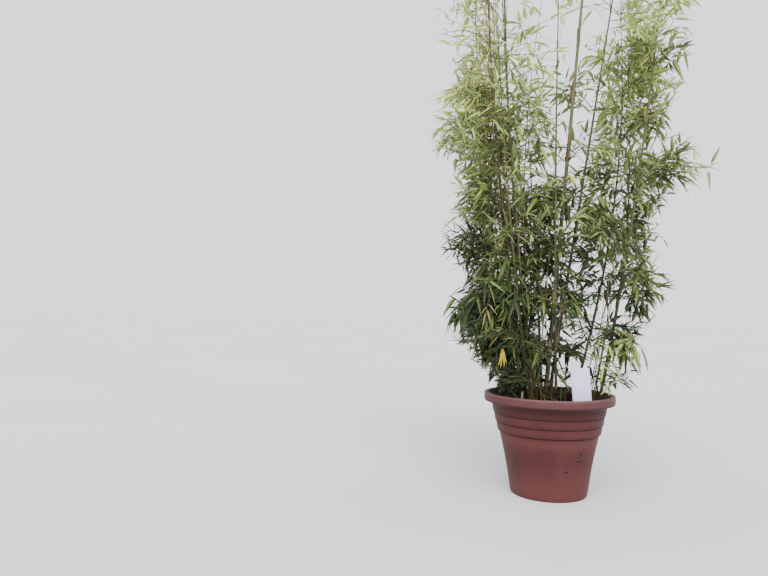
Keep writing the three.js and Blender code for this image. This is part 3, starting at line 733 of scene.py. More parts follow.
SHEATHED = {
    "left_tall": 0.8, "left_inner": 0.75, "left_outer": 0.6, "left_front": 0.4, "left_thin": 0.7,
    "middle_thin": 0.4, "middle": 0.2, "brown": 0.3, "right_tall": 0.35, "right_low": 0.3,
    "right_back": 0.4, "back": 0.3, "front": 0.1,
}
SHEATH_ROWS = np.linspace(0, 0.95, 9)
SHEATH_ARC = np.linspace(-1, 1, 8)
SHEATH_HALF_TURN = 2.7
SHEATH_STAND = 0.35
SHEATH_THICK = 0.35
SHEATH_LENGTHS = (35, 80)
SHEATH_FLARE = 0.06
SHEATHED_TO = CULM_END - 0.06
STRAW_DARK = (0.105, 0.078, 0.042)
STRAW = (0.190, 0.150, 0.086)
STRAW_PALE = (0.290, 0.245, 0.155)
BLOTCH = (0.072, 0.048, 0.026)


def outward(bearings):
    """Level directions at bearings in radians."""
    return np.stack([np.cos(bearings), np.sin(bearings), 0 * bearings], -1)


def sheath_rings(culm, t, bearings, lengths, flares):
    """Wraps of tapering width. Their rings follow the cane's middle line from a share t of its height, move
    off to the bearing by the flare times the square of the way up, and run out along an arc about the cane
    and back along one a wall's thickness inside it. The arc narrows with the root of the way left."""
    share = t[:, None] + SHEATH_ROWS * lengths[:, None] / culm["height"]
    lean = outward(bearings) * (flares * lengths)[:, None]
    middle = culm_point(culm, share) + lean[:, None] * SHEATH_ROWS[:, None] ** 2
    half_turn = SHEATH_HALF_TURN * np.sqrt(1 - SHEATH_ROWS)
    angle = bearings[:, None, None] + half_turn[:, None] * SHEATH_ARC
    radius = (culm_radius(culm, t) * (1 + FOOT_SWELL / 2) + SHEATH_STAND)[:, None, None, None]
    outer = middle[:, :, None] + outward(angle) * radius
    inner = middle[:, :, None] + outward(angle) * (radius - SHEATH_THICK)
    tip = culm_point(culm, t + lengths / culm["height"]) + lean + outward(bearings) * radius[:, 0, 0]
    return np.concatenate([outer, inner[:, :, ::-1]], axis=2), culm_point(culm, t), tip


sheath_rng = np.random.default_rng(31)
sheath_parts = []
for culm in culms:
    rings = culm_rings(culm)
    sheathed = sheath_rng.uniform(size=len(rings)) < SHEATHED[culm["name"]]
    rings = rings[(rings < SHEATHED_TO) & sheathed]
    bearings = sheath_rng.uniform(0, 2 * np.pi, len(rings))
    lengths = sheath_rng.uniform(*SHEATH_LENGTHS, len(rings))
    flares = sheath_rng.uniform(0.0, SHEATH_FLARE, len(rings))
    sheath_parts.append(sheath_rings(culm, rings, bearings, lengths, flares))
sheath_parts = [np.concatenate(part) for part in zip(*sheath_parts)]
papery = Finish("papery_sheath", 0.72, 0.25)
fibre = papery.noise(260.0, 3.0, 0.6, papery.stretched((1, 1, 0.06)))
straw = papery.ramp(fibre, [(0.3, *STRAW_DARK), (0.55, *STRAW), (0.75, *STRAW_PALE)])
blotches = papery.ramp(papery.noise(34.0, 3.0, 0.6), [(0.42, 0.0), (0.66, 0.75)])
papery.colour(papery.mix(blotches, straw, BLOTCH))
papery.bump(fibre, 0.4, 0.0006)
add_piece("sheaths", sleeves(*sheath_parts), papery.material)


# The branches leave the canes' rings by turns to all sides and carry thin twigs. They are round, tough and
# green to straw-coloured. They leave openings that sky or background shows through, and reach out unevenly.

SIDE_MASSES = 26
REACH = 140
RING_SWELL = 1.16
RIM_CLEARANCE = 8
CARD_CLEARANCE = 16
CHECKS_ALONG = 6
HIGHEST_SIDE_STEM = 0.75
STEM_LENGTH = 125
STEM_RADIUS = 2.6
STEM_STEPS = 3
STEM_RISE = math.radians(50)
STEM_DROOP = 0.3
STEM_BEARINGS = 24
STEM_END = 0.97
PAST_END = CULM_END + 0.005


def bend(starts, ways, lengths, steps, droops):
    """Joints of shoots: each starts along its way and bends down by its droop at every step."""
    joints = [starts]
    for _ in range(steps):
        joints.append(joints[-1] + ways * (lengths / steps)[:, None])
        ways = unit(ways - UP * droops[:, None])
    return np.stack(joints, 1)


def fork(ways, angles, turns):
    """Ways turned off others by angles, each to the side that a turn about the old way gives. At no turn
    that side is level."""
    level = unit(np.cross(ways, UP))
    across = level * np.cos(turns)[:, None] + np.cross(ways, level) * np.sin(turns)[:, None]
    return unit(ways * np.cos(angles)[:, None] + across * np.sin(angles)[:, None])


def along(paths, share):
    """Places at shares of the way along each path, and the headings there."""
    steps = paths.shape[1] - 1
    spot = np.clip(share, 0, 1) * steps
    first = np.minimum(spot.astype(int), steps - 1)
    start = np.take_along_axis(paths, first[..., None], axis=1)
    end = np.take_along_axis(paths, first[..., None] + 1, axis=1)
    return start + (end - start) * (spot - first)[..., None], unit(end - start)


def side_stems(culm, t, bearings, rises, lengths, steps, droops):
    """Stems that start just clear of the cane's skin at shares t of its height and rise at their bearings."""
    clear = culm_radius(culm, t) * RING_SWELL + GAP + STEM_RADIUS
    starts = culm_point(culm, t) + outward(bearings) * clear[:, None]
    ways = outward(bearings) * np.cos(rises)[:, None] + UP * np.sin(rises)[:, None]
    return bend(starts, ways, lengths, steps, droops)


def distance_to_culms(points):
    """The level distance from points to each cane's middle line, without end above the cane's own end."""
    apart = []
    for culm in culms:
        t = (points[..., 2] - SOIL_TOP - GAP) / culm["height"]
        level = np.linalg.norm((culm_point(culm, t) - points)[..., :2], axis=-1)
        apart.append(np.where(t > PAST_END, np.inf, level))
    return np.stack(apart, -1)


def distance_to_stem(points, stem):
    """The least distance from points to the straight stretches between a stem's joints."""
    starts, ways = stem[:-1], stem[1:] - stem[:-1]
    share = np.clip(np.sum((points[..., None, :] - starts) * ways, -1) / np.sum(ways * ways, -1), 0, 1)
    return np.linalg.norm(points[..., None, :] - starts - share[..., None] * ways, axis=-1).min(-1)


def tip_stem(culm):
    """The stem that carries a cane's tip on from the end of the thick cane."""
    start = culm_point(culm, CULM_END) + culm_heading(culm, CULM_END) * GAP
    rest = culm_point(culm, CULM_END + (STEM_END - CULM_END) * np.arange(1, STEM_STEPS + 1) / STEM_STEPS)
    return np.concatenate([start[None], rest])


def plan_stems():
    """The stem of each mass of foliage. One carries each cane's tip on. Each further one leaves a ring at a
    cane's side, on the ring and bearing with the widest gap to the stems so far and to the other canes."""
    planned = [tip_stem(culm) for culm in culms]
    owners, choices = [], []
    for number, culm in enumerate(culms):
        rings = culm_rings(culm)
        rings = rings[(rings > culm["bare"]) & (rings < HIGHEST_SIDE_STEM)]
        t = np.repeat(rings, STEM_BEARINGS)
        bearings = np.tile(2 * np.pi * np.arange(STEM_BEARINGS) / STEM_BEARINGS, len(rings))
        rises, lengths, droops = np.outer([STEM_RISE, STEM_LENGTH, STEM_DROOP], np.ones(len(t)))
        choices.append(side_stems(culm, t, bearings, rises, lengths, STEM_STEPS, droops))
        owners.append(np.full(len(t), number))
    owners, choices = np.concatenate(owners), np.concatenate(choices)
    share = (np.arange(CHECKS_ALONG) + 1)[:, None] / CHECKS_ALONG
    places = choices[:, :-1, None] * (1 - share) + choices[:, 1:, None] * share
    apart = distance_to_culms(places).min((1, 2))
    own = owners[:, None] == np.arange(len(culms))
    gaps = 3 * np.where(own, np.inf, apart).min(1)
    for stem in planned:
        gaps = np.minimum(gaps, distance_to_stem(choices[:, 1:], stem).min(1))
    for _ in range(SIDE_MASSES):
        best = int(gaps.argmax())
        planned.append(choices[best])
        gaps = np.minimum(gaps, distance_to_stem(choices[:, 1:], choices[best]).min(1))
    return planned


mass_stems = plan_stems()
VIEW_SLOPE = 0.322
CARD_VIEW_WIDTH = 72
CARD_VIEW_TOP = 402
MOUTH_RADIUS = 160
MOUTH_CLEARANCE = 25
NEAR_CANE = 100


def hides(points, level_places, width):
    """Whether points stand in the strip of a width between places and where the plant is seen from."""
    off = points[..., :2] - level_places
    return (np.abs(off[..., 0] - off[..., 1] * VIEW_SLOPE) < width / 2) & (off[..., 1] < 0)


def in_reach(points, shares):
    """Whether points lie in the space of some mass or near a cane, each within a share of the full reach,
    above the rim or in the pot's mouth, off the card, and out of the way from which the card is seen."""
    nearest = np.min([distance_to_stem(points, stem) for stem in mass_stems], axis=0)
    near_cane = distance_to_culms(points).min(-1) < NEAR_CANE * shares
    from_card = np.linalg.norm(points[..., :2] - np.array(CARD_PLACE), axis=-1) - CARD_WIDTH / 2
    off_card = (from_card > CARD_CLEARANCE) | (points[..., 2] > SOIL_TOP + CARD_HEIGHT + CARD_CLEARANCE)
    hiding = hides(points, np.array(CARD_PLACE), CARD_VIEW_WIDTH) & (points[..., 2] < CARD_VIEW_TOP)
    in_mouth = np.linalg.norm(points[..., :2], axis=-1) < MOUTH_RADIUS
    floor = np.where(in_mouth, SOIL_TOP + MOUTH_CLEARANCE, POT_HEIGHT + RIM_CLEARANCE)
    return ((nearest < REACH * shares) | near_cane) & (points[..., 2] > floor) & off_card & ~hiding


def clear_of_canes(points, margin):
    """Whether points are clear of every cane by a margin in mm."""
    radii = np.array([culm["radius"] for culm in culms])
    return (distance_to_culms(points) > radii + margin).all(-1)


EYE = np.array([-498, -1875, 527])
OPENINGS = [
    ((-70, 1400), (95, 150), 0.8), ((-275, 1440), (60, 120), 0.65), ((165, 1480), (60, 95), 0.9),
    ((20, 1060), (125, 110), 0.5), ((-45, 1000), (45, 160), 0.5), ((85, 410), (85, 85), 0.5),
    ((60, 335), (85, 58), 0.8), ((-5, 285), (92, 32), 0.8), ((-55, 1225), (100, 110), 0.5),
]
CORNER_POWER = 2.5


def where_seen(points):
    """Where the sight lines from the eye through points meet the upright plane through the pot's axis, as
    places to the right and heights in mm."""
    share = -EYE[1] / (points[..., 1] - EYE[1])
    return (EYE + (points - EYE) * share[..., None])[..., [0, 2]]


def openness(points):
    """How open the clump is at points: the highest share of the openings that they are seen in. An opening
    is a box with rounded corners about a place, with half-widths, in that upright plane."""
    seen = where_seen(points)
    shares = [share * ((np.abs((seen - place) / half_size) ** CORNER_POWER).sum(-1) < 1)
              for place, half_size, share in OPENINGS]
    return np.max(shares, axis=0)


def path_lengths(paths):
    """The length of each path, summed over its steps."""
    return np.linalg.norm(np.diff(paths, axis=1), axis=-1).sum(1)


def grouped(counts):
    """For items in groups of given counts: each item's group, and its number in the group from 0."""
    group = np.repeat(np.arange(len(counts)), counts)
    return group, np.arange(len(group)) - np.repeat(np.cumsum(counts) - counts, counts)


def dealt(count):
    """A number from 0 to 1 for each of a count: steps of the golden share, less their whole parts."""
    return np.modf(np.arange(count) * GOLDEN_SHARE)[0]


BRANCHES_AT_RING = {
    "middle": 1.5, "brown": 1.7, "left_tall": 7.0, "left_inner": 5.8, "left_outer": 8.4,
    "left_front": 6.4, "left_thin": 4.4, "middle_thin": 1.6, "right_tall": 6.0, "right_low": 6.6,
    "right_back": 6.0, "back": 2.8, "front": 1.4,
}
UNPULLED = ("middle", "brown")
GOLDEN_TURN = math.radians(137.5)
GOLDEN_SHARE = 0.618034
YOUNG_BRANCHES = 1.3
OUTWARD_PULL = 0.6
CLUMP_MIDDLE = 20
LOW_LEAFY = 0.03
LOW_HEIGHT = 110
LOW_SPREAD = 620
LOW_EXTRA = 0.85
LOW_THIN = 0.4
AIRY_HEIGHT = 950
AIRY_SPREAD = 170
AIRY_SHARE = 0.38
AIRY_SHARE_RIGHT = 0.8
CROWN_HEIGHT = 1310
CROWN_BRANCHES = 4.4
CROWN_ONSET = 320
CROWN_LEAST = 0.35
REACH_SPREAD = 0.3
REACH_POWER = 1.5
LAST_RING = 0.962
BEARING_SLACK = 0.4
TURN_SLACK = 0.45
BRANCH_STEPS = 6
BRANCH_LEAST_STEPS = 2
BRANCH_RISES = (24, 64)
LOW_BRANCH_RISES = (-22, 30)
BRANCH_LENGTHS = (120, 255)
BRANCH_LENGTH_LOSS = 0.35
BRANCH_DROOPS = (0.08, 0.2)
BRANCH_MARGIN = 1.5
BRANCH_RADIUS = 1.5
BRANCH_TAPER = 0.62
BRANCH_SIDES = 6

# How many branches leave a ring depends on its cane and its height: fewer low down and in the airy stretch
# below the crown, more in the crown. They turn on by the golden angle, lean towards the clump's outside, lie
# flatter low down, and bend down at each step. A branch is cut off where it first leaves its own share of
# the reach or comes too near a cane, and in the crown's lower part some branches are left out.

growth = np.random.default_rng(7)
even_steps = np.linspace(0, 1, BRANCH_STEPS + 1)
side_masses = np.array(mass_stems[len(culms):])
stems = [along(side_masses, np.tile(even_steps, (SIDE_MASSES, 1)))[0]]
crown_shares = [np.ones(SIDE_MASSES)]
for culm in culms + young_canes:
    name, height, young = culm["name"], culm["height"], culm["kind"] == "tan"
    on_left = name.startswith("left")
    airy_share = AIRY_SHARE_RIGHT if name.startswith("right") else AIRY_SHARE
    rings = culm_rings(culm)
    lowest = LOW_LEAFY if on_left else culm["bare"]
    rings = np.append(rings[(rings > lowest) & (rings < STEM_END)], LAST_RING)
    above = rings * height
    low_fullness = LOW_EXTRA if on_left else LOW_THIN
    fullness = np.interp(above, [LOW_HEIGHT, LOW_HEIGHT + LOW_SPREAD], [low_fullness, 1])
    fullness = fullness * np.interp(above, [AIRY_HEIGHT, AIRY_HEIGHT + AIRY_SPREAD], [1, airy_share])
    mean = np.where(above > CROWN_HEIGHT, CROWN_BRANCHES, BRANCHES_AT_RING[name] * fullness)
    mean = np.minimum(mean, YOUNG_BRANCHES) if young else mean
    counts = (mean + growth.uniform(0, 1, len(rings))).astype(int)
    t = np.repeat(rings, counts)
    above = t * height
    size = len(t)
    bearings = growth.uniform(0, 2 * np.pi) + np.arange(size) * GOLDEN_TURN
    bearings += growth.uniform(-BEARING_SLACK, BEARING_SLACK, size)
    place = culm_point(culm, t)
    light_side = np.arctan2(place[:, 1], place[:, 0] - CLUMP_MIDDLE)
    pulled = (name not in UNPULLED) * (above < CROWN_HEIGHT)
    bearings += OUTWARD_PULL * pulled * np.sin(light_side - bearings)
    low = np.clip(1 - (above - LOW_HEIGHT) / LOW_SPREAD, 0, 1)
    rises = low * growth.uniform(*LOW_BRANCH_RISES, size) + (1 - low) * growth.uniform(*BRANCH_RISES, size)
    lengths = (1 - BRANCH_LENGTH_LOSS * t) * growth.uniform(*BRANCH_LENGTHS, size)
    droops = growth.uniform(*BRANCH_DROOPS, size)
    stems.append(side_stems(culm, t, bearings, np.radians(rises), lengths, BRANCH_STEPS, droops))
    crown_base = np.clip(BRANCHES_AT_RING[name] * airy_share / CROWN_BRANCHES, CROWN_LEAST, 1)
    crown_base = 1 if young else crown_base
    into_crown = above - CROWN_HEIGHT
    crown_share = np.interp(into_crown, [0, CROWN_ONSET], [crown_base, 1])
    crown_shares.append(np.where(into_crown > 0, crown_share, 1))
stems = np.concatenate(stems)
reach_shares = 1 - REACH_SPREAD * growth.uniform(size=(len(stems), 1)) ** REACH_POWER
stem_fits = in_reach(stems, reach_shares) & clear_of_canes(stems, BRANCH_MARGIN)
stem_fits[:, 0] = True
last_joint = np.cumprod(stem_fits, axis=1).sum(1) - 1
long_enough = last_joint >= BRANCH_LEAST_STEPS
cut_share = last_joint[long_enough, None] / BRANCH_STEPS * even_steps
branch_paths = along(stems[long_enough], cut_share)[0]
branch_kept = (dealt(len(stems)) < np.concatenate(crown_shares))[long_enough]
branch_shares = reach_shares[long_enough]


def shoots(paths, radius, taper, sides):
    """Tubes along paths. Their radius falls evenly by a share of the first, and their sides start level."""
    radii = radius * (1 - taper * np.linspace(0, 1, paths.shape[1]))
    return tubes(paths, radii[None], sides, unit(np.cross(paths[:, 1] - paths[:, 0], UP)))


SHOOT_DARK = (0.060, 0.062, 0.018)
SHOOT_GREEN = (0.112, 0.118, 0.036)
SHOOT_STRAW = (0.190, 0.160, 0.068)
shoot = Finish("green_shoot", 0.5, 0.4)
shoot_spots = shoot.noise(40.0, 4.0, 0.6)
shoot.colour(shoot.ramp(shoot_spots, [(0.3, *SHOOT_DARK), (0.55, *SHOOT_GREEN), (0.75, *SHOOT_STRAW)]))
shoot.bump(shoot.noise(700.0, 2.0, 0.5), 0.2, 0.0004)
mass_nodes = sorted(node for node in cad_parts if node.startswith("leaves_"))
branch_shape = shoots(branch_paths[branch_kept], BRANCH_RADIUS, BRANCH_TAPER, BRANCH_SIDES)
add_piece("branches", branch_shape, shoot.material, mass_nodes)


# The twigs are thin shoots that fork off the branches by turns to all sides, all the way out. They have the
# same skin. One of them near the rim at the left hangs down and holds a bunch of withered leaves.

TWIG_SPACE = 18
TWIG_FIRST = 0.12
TWIG_STRETCH = 0.85
TWIG_SLACK = 0.8
TWIG_ANGLES = (30, 64)
TWIG_LENGTHS = (26, 76)
TWIG_DROOPS = (0.04, 0.2)
TWIG_STEPS = 3
TWIG_MARGIN = 0.8
TWIG_OPENNESS = 0.7
TWIG_RADIUS = 0.62
TWIG_TAPER = 0.4
TWIG_SIDES = 4

twig_counts = np.maximum(2, np.round(path_lengths(branch_paths) / TWIG_SPACE)).astype(int)
twig_branch, twig_number = grouped(twig_counts)
size = len(twig_branch)
twig_step = twig_number + growth.uniform(0, TWIG_SLACK, size)
twig_share = TWIG_FIRST + TWIG_STRETCH * twig_step / twig_counts[twig_branch]
joints, ways = along(branch_paths[twig_branch], twig_share[:, None])
turns = twig_number * GOLDEN_TURN + growth.uniform(-TURN_SLACK, TURN_SLACK, size)
ways = fork(ways[:, 0], np.radians(growth.uniform(*TWIG_ANGLES, size)), turns)
lengths = growth.uniform(*TWIG_LENGTHS, size)
twig_paths = bend(joints[:, 0], ways, lengths, TWIG_STEPS, growth.uniform(*TWIG_DROOPS, size))
twig_fits = in_reach(twig_paths[:, 1:], branch_shares[twig_branch]).all(-1)
twig_fits &= clear_of_canes(twig_paths[:, 1:], TWIG_MARGIN).all(-1)
twig_fits &= growth.uniform(size=size) > TWIG_OPENNESS * openness(twig_paths[:, -1])
twig_paths, twig_branch = twig_paths[twig_fits], twig_branch[twig_fits]

WITHERED_PLACE = np.array([-170, -160, 424])
WITHERED_HANG = 30
all_joints = branch_paths.reshape(-1, 3)
holder = np.linalg.norm(all_joints - WITHERED_PLACE - UP * WITHERED_HANG, axis=1).argmin()
hanging = (WITHERED_PLACE - all_joints[holder]) * np.linspace(0, 1, TWIG_STEPS + 1)[:, None]
twig_paths = np.concatenate([twig_paths, (all_joints[holder] + hanging)[None]])
twig_branch = np.append(twig_branch, holder // branch_paths.shape[1])
twig_shape = shoots(twig_paths[branch_kept[twig_branch]], TWIG_RADIUS, TWIG_TAPER, TWIG_SIDES)
add_piece("twigs", twig_shape, shoot.material, mass_nodes)


# The canes' tips run on between the branches beyond the last thick joint. They have the same skin and
# rings, and taper to thin shoots.

TIP_SIDES = 10
TIP_OVERLAP = 0.001

for culm in culms:
    name, skin = culm["name"], cane_skins[culm["kind"]]
    shape, values = cane_shape(culm, CULM_END - TIP_OVERLAP, STEM_END, TIP_SIDES, POINTED)
    add_piece(f"cane_tip_{name}", shape, skin, [f"leaves_{name}_tip"], {"skin": values})


# The leaves are narrow blades on short stalks, folded along the midrib. Three to seven of them spread from
# a shoot's end to both sides. Their green varies by chance from leaf to leaf, and their tint from deep green
# to bright yellow-green is mostly painted light and shade: brighter high up and on the clump's outside,
# deeper inside and where sprays crowd. One small bunch near the rim at the left has withered and hangs down
# yellow.

LEAF_ROWS = np.array([0.05, 0.12, 0.27, 0.48, 0.74])
LEAF_BREADTH = np.array([0.08, 0.74, 1.0, 0.86, 0.46])
LEAF_FOLD = 0.34
LEAF_THICK = 0.32
EDGE_THICK = 0.35
LEAF_DRAWN_BACK = 0.12
LEAF_FALL = 0.5


def blades(roots, ways, rolls, lengths, widths, droops, curls):
    """Closed lance-shaped leaves. The midline runs out from the root, bends down and to one side with the
    square of the way along, the edges stand out from it by the breadth at each place and rise by the fold,
    and the midrib's upper and lower corners close the section."""
    level = unit(np.cross(ways, UP))
    across = level * np.cos(rolls)[:, None] + np.cross(ways, level) * np.sin(rolls)[:, None]
    face = np.cross(across, ways)
    rows = np.append(LEAF_ROWS, 1.0)[None, :, None]
    size = lengths[:, None, None]
    droop = droops[:, None, None]
    middle = roots[:, None] + ways[:, None] * size * (rows - LEAF_DRAWN_BACK * droop * rows ** 2)
    middle = middle - UP * size * droop * rows ** 2 * LEAF_FALL
    middle = middle + across[:, None] * size * curls[:, None, None] * rows ** 2
    tips, middle = middle[:, -1], middle[:, :-1]
    breadth = LEAF_BREADTH[None, :, None]
    half = widths[:, None, None] / 2 * breadth
    out = across[:, None] * half
    lift = face[:, None] * half * LEAF_FOLD
    thick = face[:, None] * LEAF_THICK * (EDGE_THICK + (1 - EDGE_THICK) * breadth)
    rings = np.stack([middle + out + lift, middle - thick, middle - out + lift, middle + thick], axis=2)
    return sleeves(rings, roots, tips)


def blade_values(count):
    """For each corner of a number of leaves: its way along and to the side, and 1 below or 0 above the leaf.
    Then a number from 0 to 1 that each leaf is dealt."""
    side = np.array([1.0, 0.0, -1.0, 0.0])
    below = np.array([0.5, 1.0, 0.5, 0.0])
    along_rows = np.broadcast_to(LEAF_ROWS[:, None], (len(LEAF_ROWS), 4))
    rings = np.stack(np.broadcast_arrays(along_rows, side, below), -1).reshape(-1, 3)
    one = np.concatenate([[[0, 0, 0.5]], rings, [[1, 0, 0.5]]])
    lot = np.repeat(dealt(count), len(one))
    return {"blade": np.tile(one, (count, 1)), "lot": np.stack([lot, lot, lot], -1)}


LEAF_COUNTS = (3, 8)
LEAF_SPACE = 8.0
LEAF_START = 1.0
TIP_SPRAY = 0.03
LEAF_PLANE = 0.9
LEAF_ANGLE = 8
LEAF_ANGLE_GAIN = 25
LEAF_ANGLE_SLACK = (-9, 12)
LEAF_SAGS = (-0.35, 0.45)
LOW_SAG = 0.15
LOW_SAG_BELOW = 700
LEAF_ROLL = 48
LEAF_LEAST = 31
LEAF_GAIN = 50
LEAF_GAIN_POWER = 1.3
LEAF_LENGTH_LOSS = 0.04
LOW_LEAF_HEIGHTS = [450, 800]
LOW_LEAF_GROWTH = [1.1, 1.0]
LEAF_SLENDERNESS = (0.155, 0.215)
LEAF_DROOPS = (0.0, 0.55)
LEAF_CURL = 0.09
LEAF_MARGIN = 1.0
LEAF_CHECKS = np.array([[[0.3], [0.6], [1.0]]])
WITHERED_COUNT = 7
WITHERED_SPACE = 2.0
WITHERED_SPREAD = 0.62
WITHERED_LENGTH = 44
WITHERED_WIDTH = 5.4
WITHERED_MIDDLE = 20
WITHERED_VIEW = [14, 34]

# A spray is the end of a cane, a branch or a twig, with its leaves. They sit alternately at its two sides,
# wider off the shoot and shorter the further back they are, and hang by their sag. A leaf is left out where
# it would leave the reach, come near a cane, lie in an opening, or hide a bare cane or the withered bunch,
# and with a branch that is left out.

tip_share = np.linspace(STEM_END - TIP_SPRAY, STEM_END, TWIG_STEPS + 1)
tip_paths = np.array([culm_point(culm, tip_share) for culm in culms])
spray_paths = np.concatenate([tip_paths, branch_paths[:, -TWIG_STEPS - 1:], twig_paths])
spray_branch = np.concatenate([np.arange(len(culms)), np.arange(len(branch_paths)), twig_branch])
spray_ends = spray_paths[:, -1]
withered = len(spray_paths) - 1
leaf_counts = growth.integers(*LEAF_COUNTS, len(spray_paths))
leaf_counts[withered] = WITHERED_COUNT
leaf_spray, leaf_number = grouped(leaf_counts)
size = len(leaf_spray)
is_withered = leaf_spray == withered
back = LEAF_START + np.where(is_withered, WITHERED_SPACE, LEAF_SPACE) * leaf_number
roots, ways = along(spray_paths[leaf_spray], 1 - (back / path_lengths(spray_paths)[leaf_spray])[:, None])
roots = roots[:, 0]
plane = growth.uniform(-LEAF_PLANE, LEAF_PLANE, len(spray_paths))[leaf_spray]
turns = plane + np.pi * (leaf_number % 2) + growth.uniform(-TURN_SLACK, TURN_SLACK, size)
angles = LEAF_ANGLE + LEAF_ANGLE_GAIN * np.sqrt(leaf_number) + growth.uniform(*LEAF_ANGLE_SLACK, size)
sag = growth.uniform(*LEAF_SAGS, size) + LOW_SAG * (roots[:, 2] < LOW_SAG_BELOW)
ways = unit(fork(ways[:, 0], np.radians(angles), turns) - UP * sag[:, None])
ways = np.where(is_withered[:, None], unit(WITHERED_SPREAD * ways - UP), ways)
rolls = np.radians(growth.uniform(-LEAF_ROLL, LEAF_ROLL, size))
lengths = LEAF_LEAST + LEAF_GAIN * growth.uniform(0, 1, size) ** LEAF_GAIN_POWER
lengths = lengths * (1 - LEAF_LENGTH_LOSS * leaf_number)
lengths = lengths * np.interp(roots[:, 2], LOW_LEAF_HEIGHTS, LOW_LEAF_GROWTH)
lengths = np.where(is_withered, WITHERED_LENGTH, lengths)
widths = lengths * growth.uniform(*LEAF_SLENDERNESS, size)
widths = np.where(is_withered, WITHERED_WIDTH, widths)
droops = growth.uniform(*LEAF_DROOPS, size)
curls = growth.uniform(-LEAF_CURL, LEAF_CURL, size)
leaves = (roots, ways, rolls, lengths, widths, droops, curls)

checked = roots[:, None] + ways[:, None] * lengths[:, None, None] * LEAF_CHECKS
checked = checked - UP * (lengths * droops)[:, None, None] * LEAF_CHECKS ** 2 * LEAF_FALL
leaf_shares = branch_shares[spray_branch[leaf_spray]]
leaf_fits = in_reach(checked, leaf_shares).all(-1) & clear_of_canes(checked, LEAF_MARGIN).all(-1)

# The canes that show bare: the width of the strip of leaves before each, the share of them that is left
# out, and the height above the soil where the strip starts.

FREE_CANES = {
    "middle": (28, 0.85, 0), "left_tall": (44, 0.9, 520), "left_inner": (22, 0.6, 0),
    "brown": (22, 0.6, 0), "right_tall": (20, 0.5, 0), "right_back": (20, 0.5, 0),
    "left_thin": (16, 0.4, 500),
}
for culm in [culm for culm in culms if culm["name"] in FREE_CANES]:
    width, share, lowest = FREE_CANES[culm["name"]]
    above = checked[..., 2] - SOIL_TOP
    in_front = hides(checked, culm_point(culm, above / culm["height"])[..., :2], width) & (above > lowest)
    leaf_fits &= ~(in_front.any(-1) & (growth.uniform(size=size) < share))
leaf_fits &= growth.uniform(size=size) > openness(checked[:, 1])
leaf_fits &= branch_kept[spray_branch[leaf_spray]]
off_withered = where_seen(checked) - where_seen(WITHERED_PLACE - UP * WITHERED_MIDDLE)
over_withered = ((np.abs(off_withered) / WITHERED_VIEW).max(-1) < 1).any(-1)
leaf_fits &= ~(over_withered & (checked[:, 1, 1] < WITHERED_PLACE[1])) | is_withered

# The greens from deep to lime are shaded and lit copies of one leaf green: the one that a spray gets paints
# in its light or shade. Straw and gold are the colours of dry and withered leaves.
TINTS = {
    "deep": (0.023, 0.035, 0.0104),
    "dark": (0.057, 0.084, 0.0200),
    "green": (0.142, 0.192, 0.053),
    "olive": (0.280, 0.344, 0.106),
    "bright": (0.445, 0.525, 0.158),
    "lime": (0.640, 0.710, 0.228),
    "straw": (0.300, 0.232, 0.090),
    "gold": (1.000, 0.620, 0.070),
}
TINT_SHARES = [0.14, 0.31, 0.52, 0.74, 0.89]
STRAW_SHARE = 0.010
OLD_LEAF = (0.57, 0.62, 0.78)
YOUNG_LEAF = (1.48, 1.42, 1.05)
DRY_TIP = (0.30, 0.22, 0.10)
DRY_FROM = 1.02
UNDERSIDE_SHARE = (0.9, 0.9, 0.9)
UNDERSIDE_LIFT = 0.022
MIDRIB_SHARE = (1.5, 1.5, 1.5)
MIDRIB_LIFT = 0.012
VEINS = 34.0


def changed(tint, shares, lift=0.0):
    """A tint with each part changed by a share, lifted by a little and held at 1."""
    return tuple(min(1.0, share * part + lift) for part, share in zip(tint, shares))


def leaf_finish(name, tint):
    """Satin leaf: paler below and along the midrib, with fine lengthwise veins, an uneven depth of green,
    and here and there a dry tip."""
    leaf = Finish(name, 0.45, 0.35)
    along_leaf, side, below = leaf.attribute("blade")
    lot = leaf.attribute("lot")[0]
    patches = leaf.ramp(leaf.noise(38.0, 3.0, 0.55), [(0.3, 0.0), (0.7, 1.0)])
    freshness = leaf.figure("MULTIPLY", leaf.figure("ADD", patches, lot), 0.5)
    base = leaf.mix(freshness, changed(tint, OLD_LEAF), changed(tint, YOUNG_LEAF))
    underside = leaf.ramp(below, [(0.5, 0.0), (0.52, 0.6)])
    base = leaf.mix(underside, base, changed(tint, UNDERSIDE_SHARE, UNDERSIDE_LIFT))
    rib = leaf.ramp(leaf.figure("ABSOLUTE", side), [(0.0, 0.6), (0.12, 0.0)])
    ribbed = leaf.mix(rib, base, changed(tint, MIDRIB_SHARE, MIDRIB_LIFT))
    worn_out = leaf.figure("ADD", along_leaf, leaf.figure("MULTIPLY", lot, 0.12))
    leaf.colour(leaf.mix(leaf.figure("GREATER_THAN", worn_out, DRY_FROM), ribbed, DRY_TIP))
    leaf.bump(leaf.figure("SINE", leaf.figure("MULTIPLY", side, VEINS)), 0.12, 0.0003)
    return leaf.material


def add_leaves(name, finish, all_leaves, chosen, nodes):
    """Makes one piece of the chosen leaves."""
    shape = blades(*(values[chosen] for values in all_leaves))
    add_piece(name, shape, finish, nodes, blade_values(int(chosen.sum())))


def rising(values, low, high):
    """0 at a low value and below, 1 at a high one and above, and straight between them."""
    return np.clip((values - low) / (high - low), 0, 1)


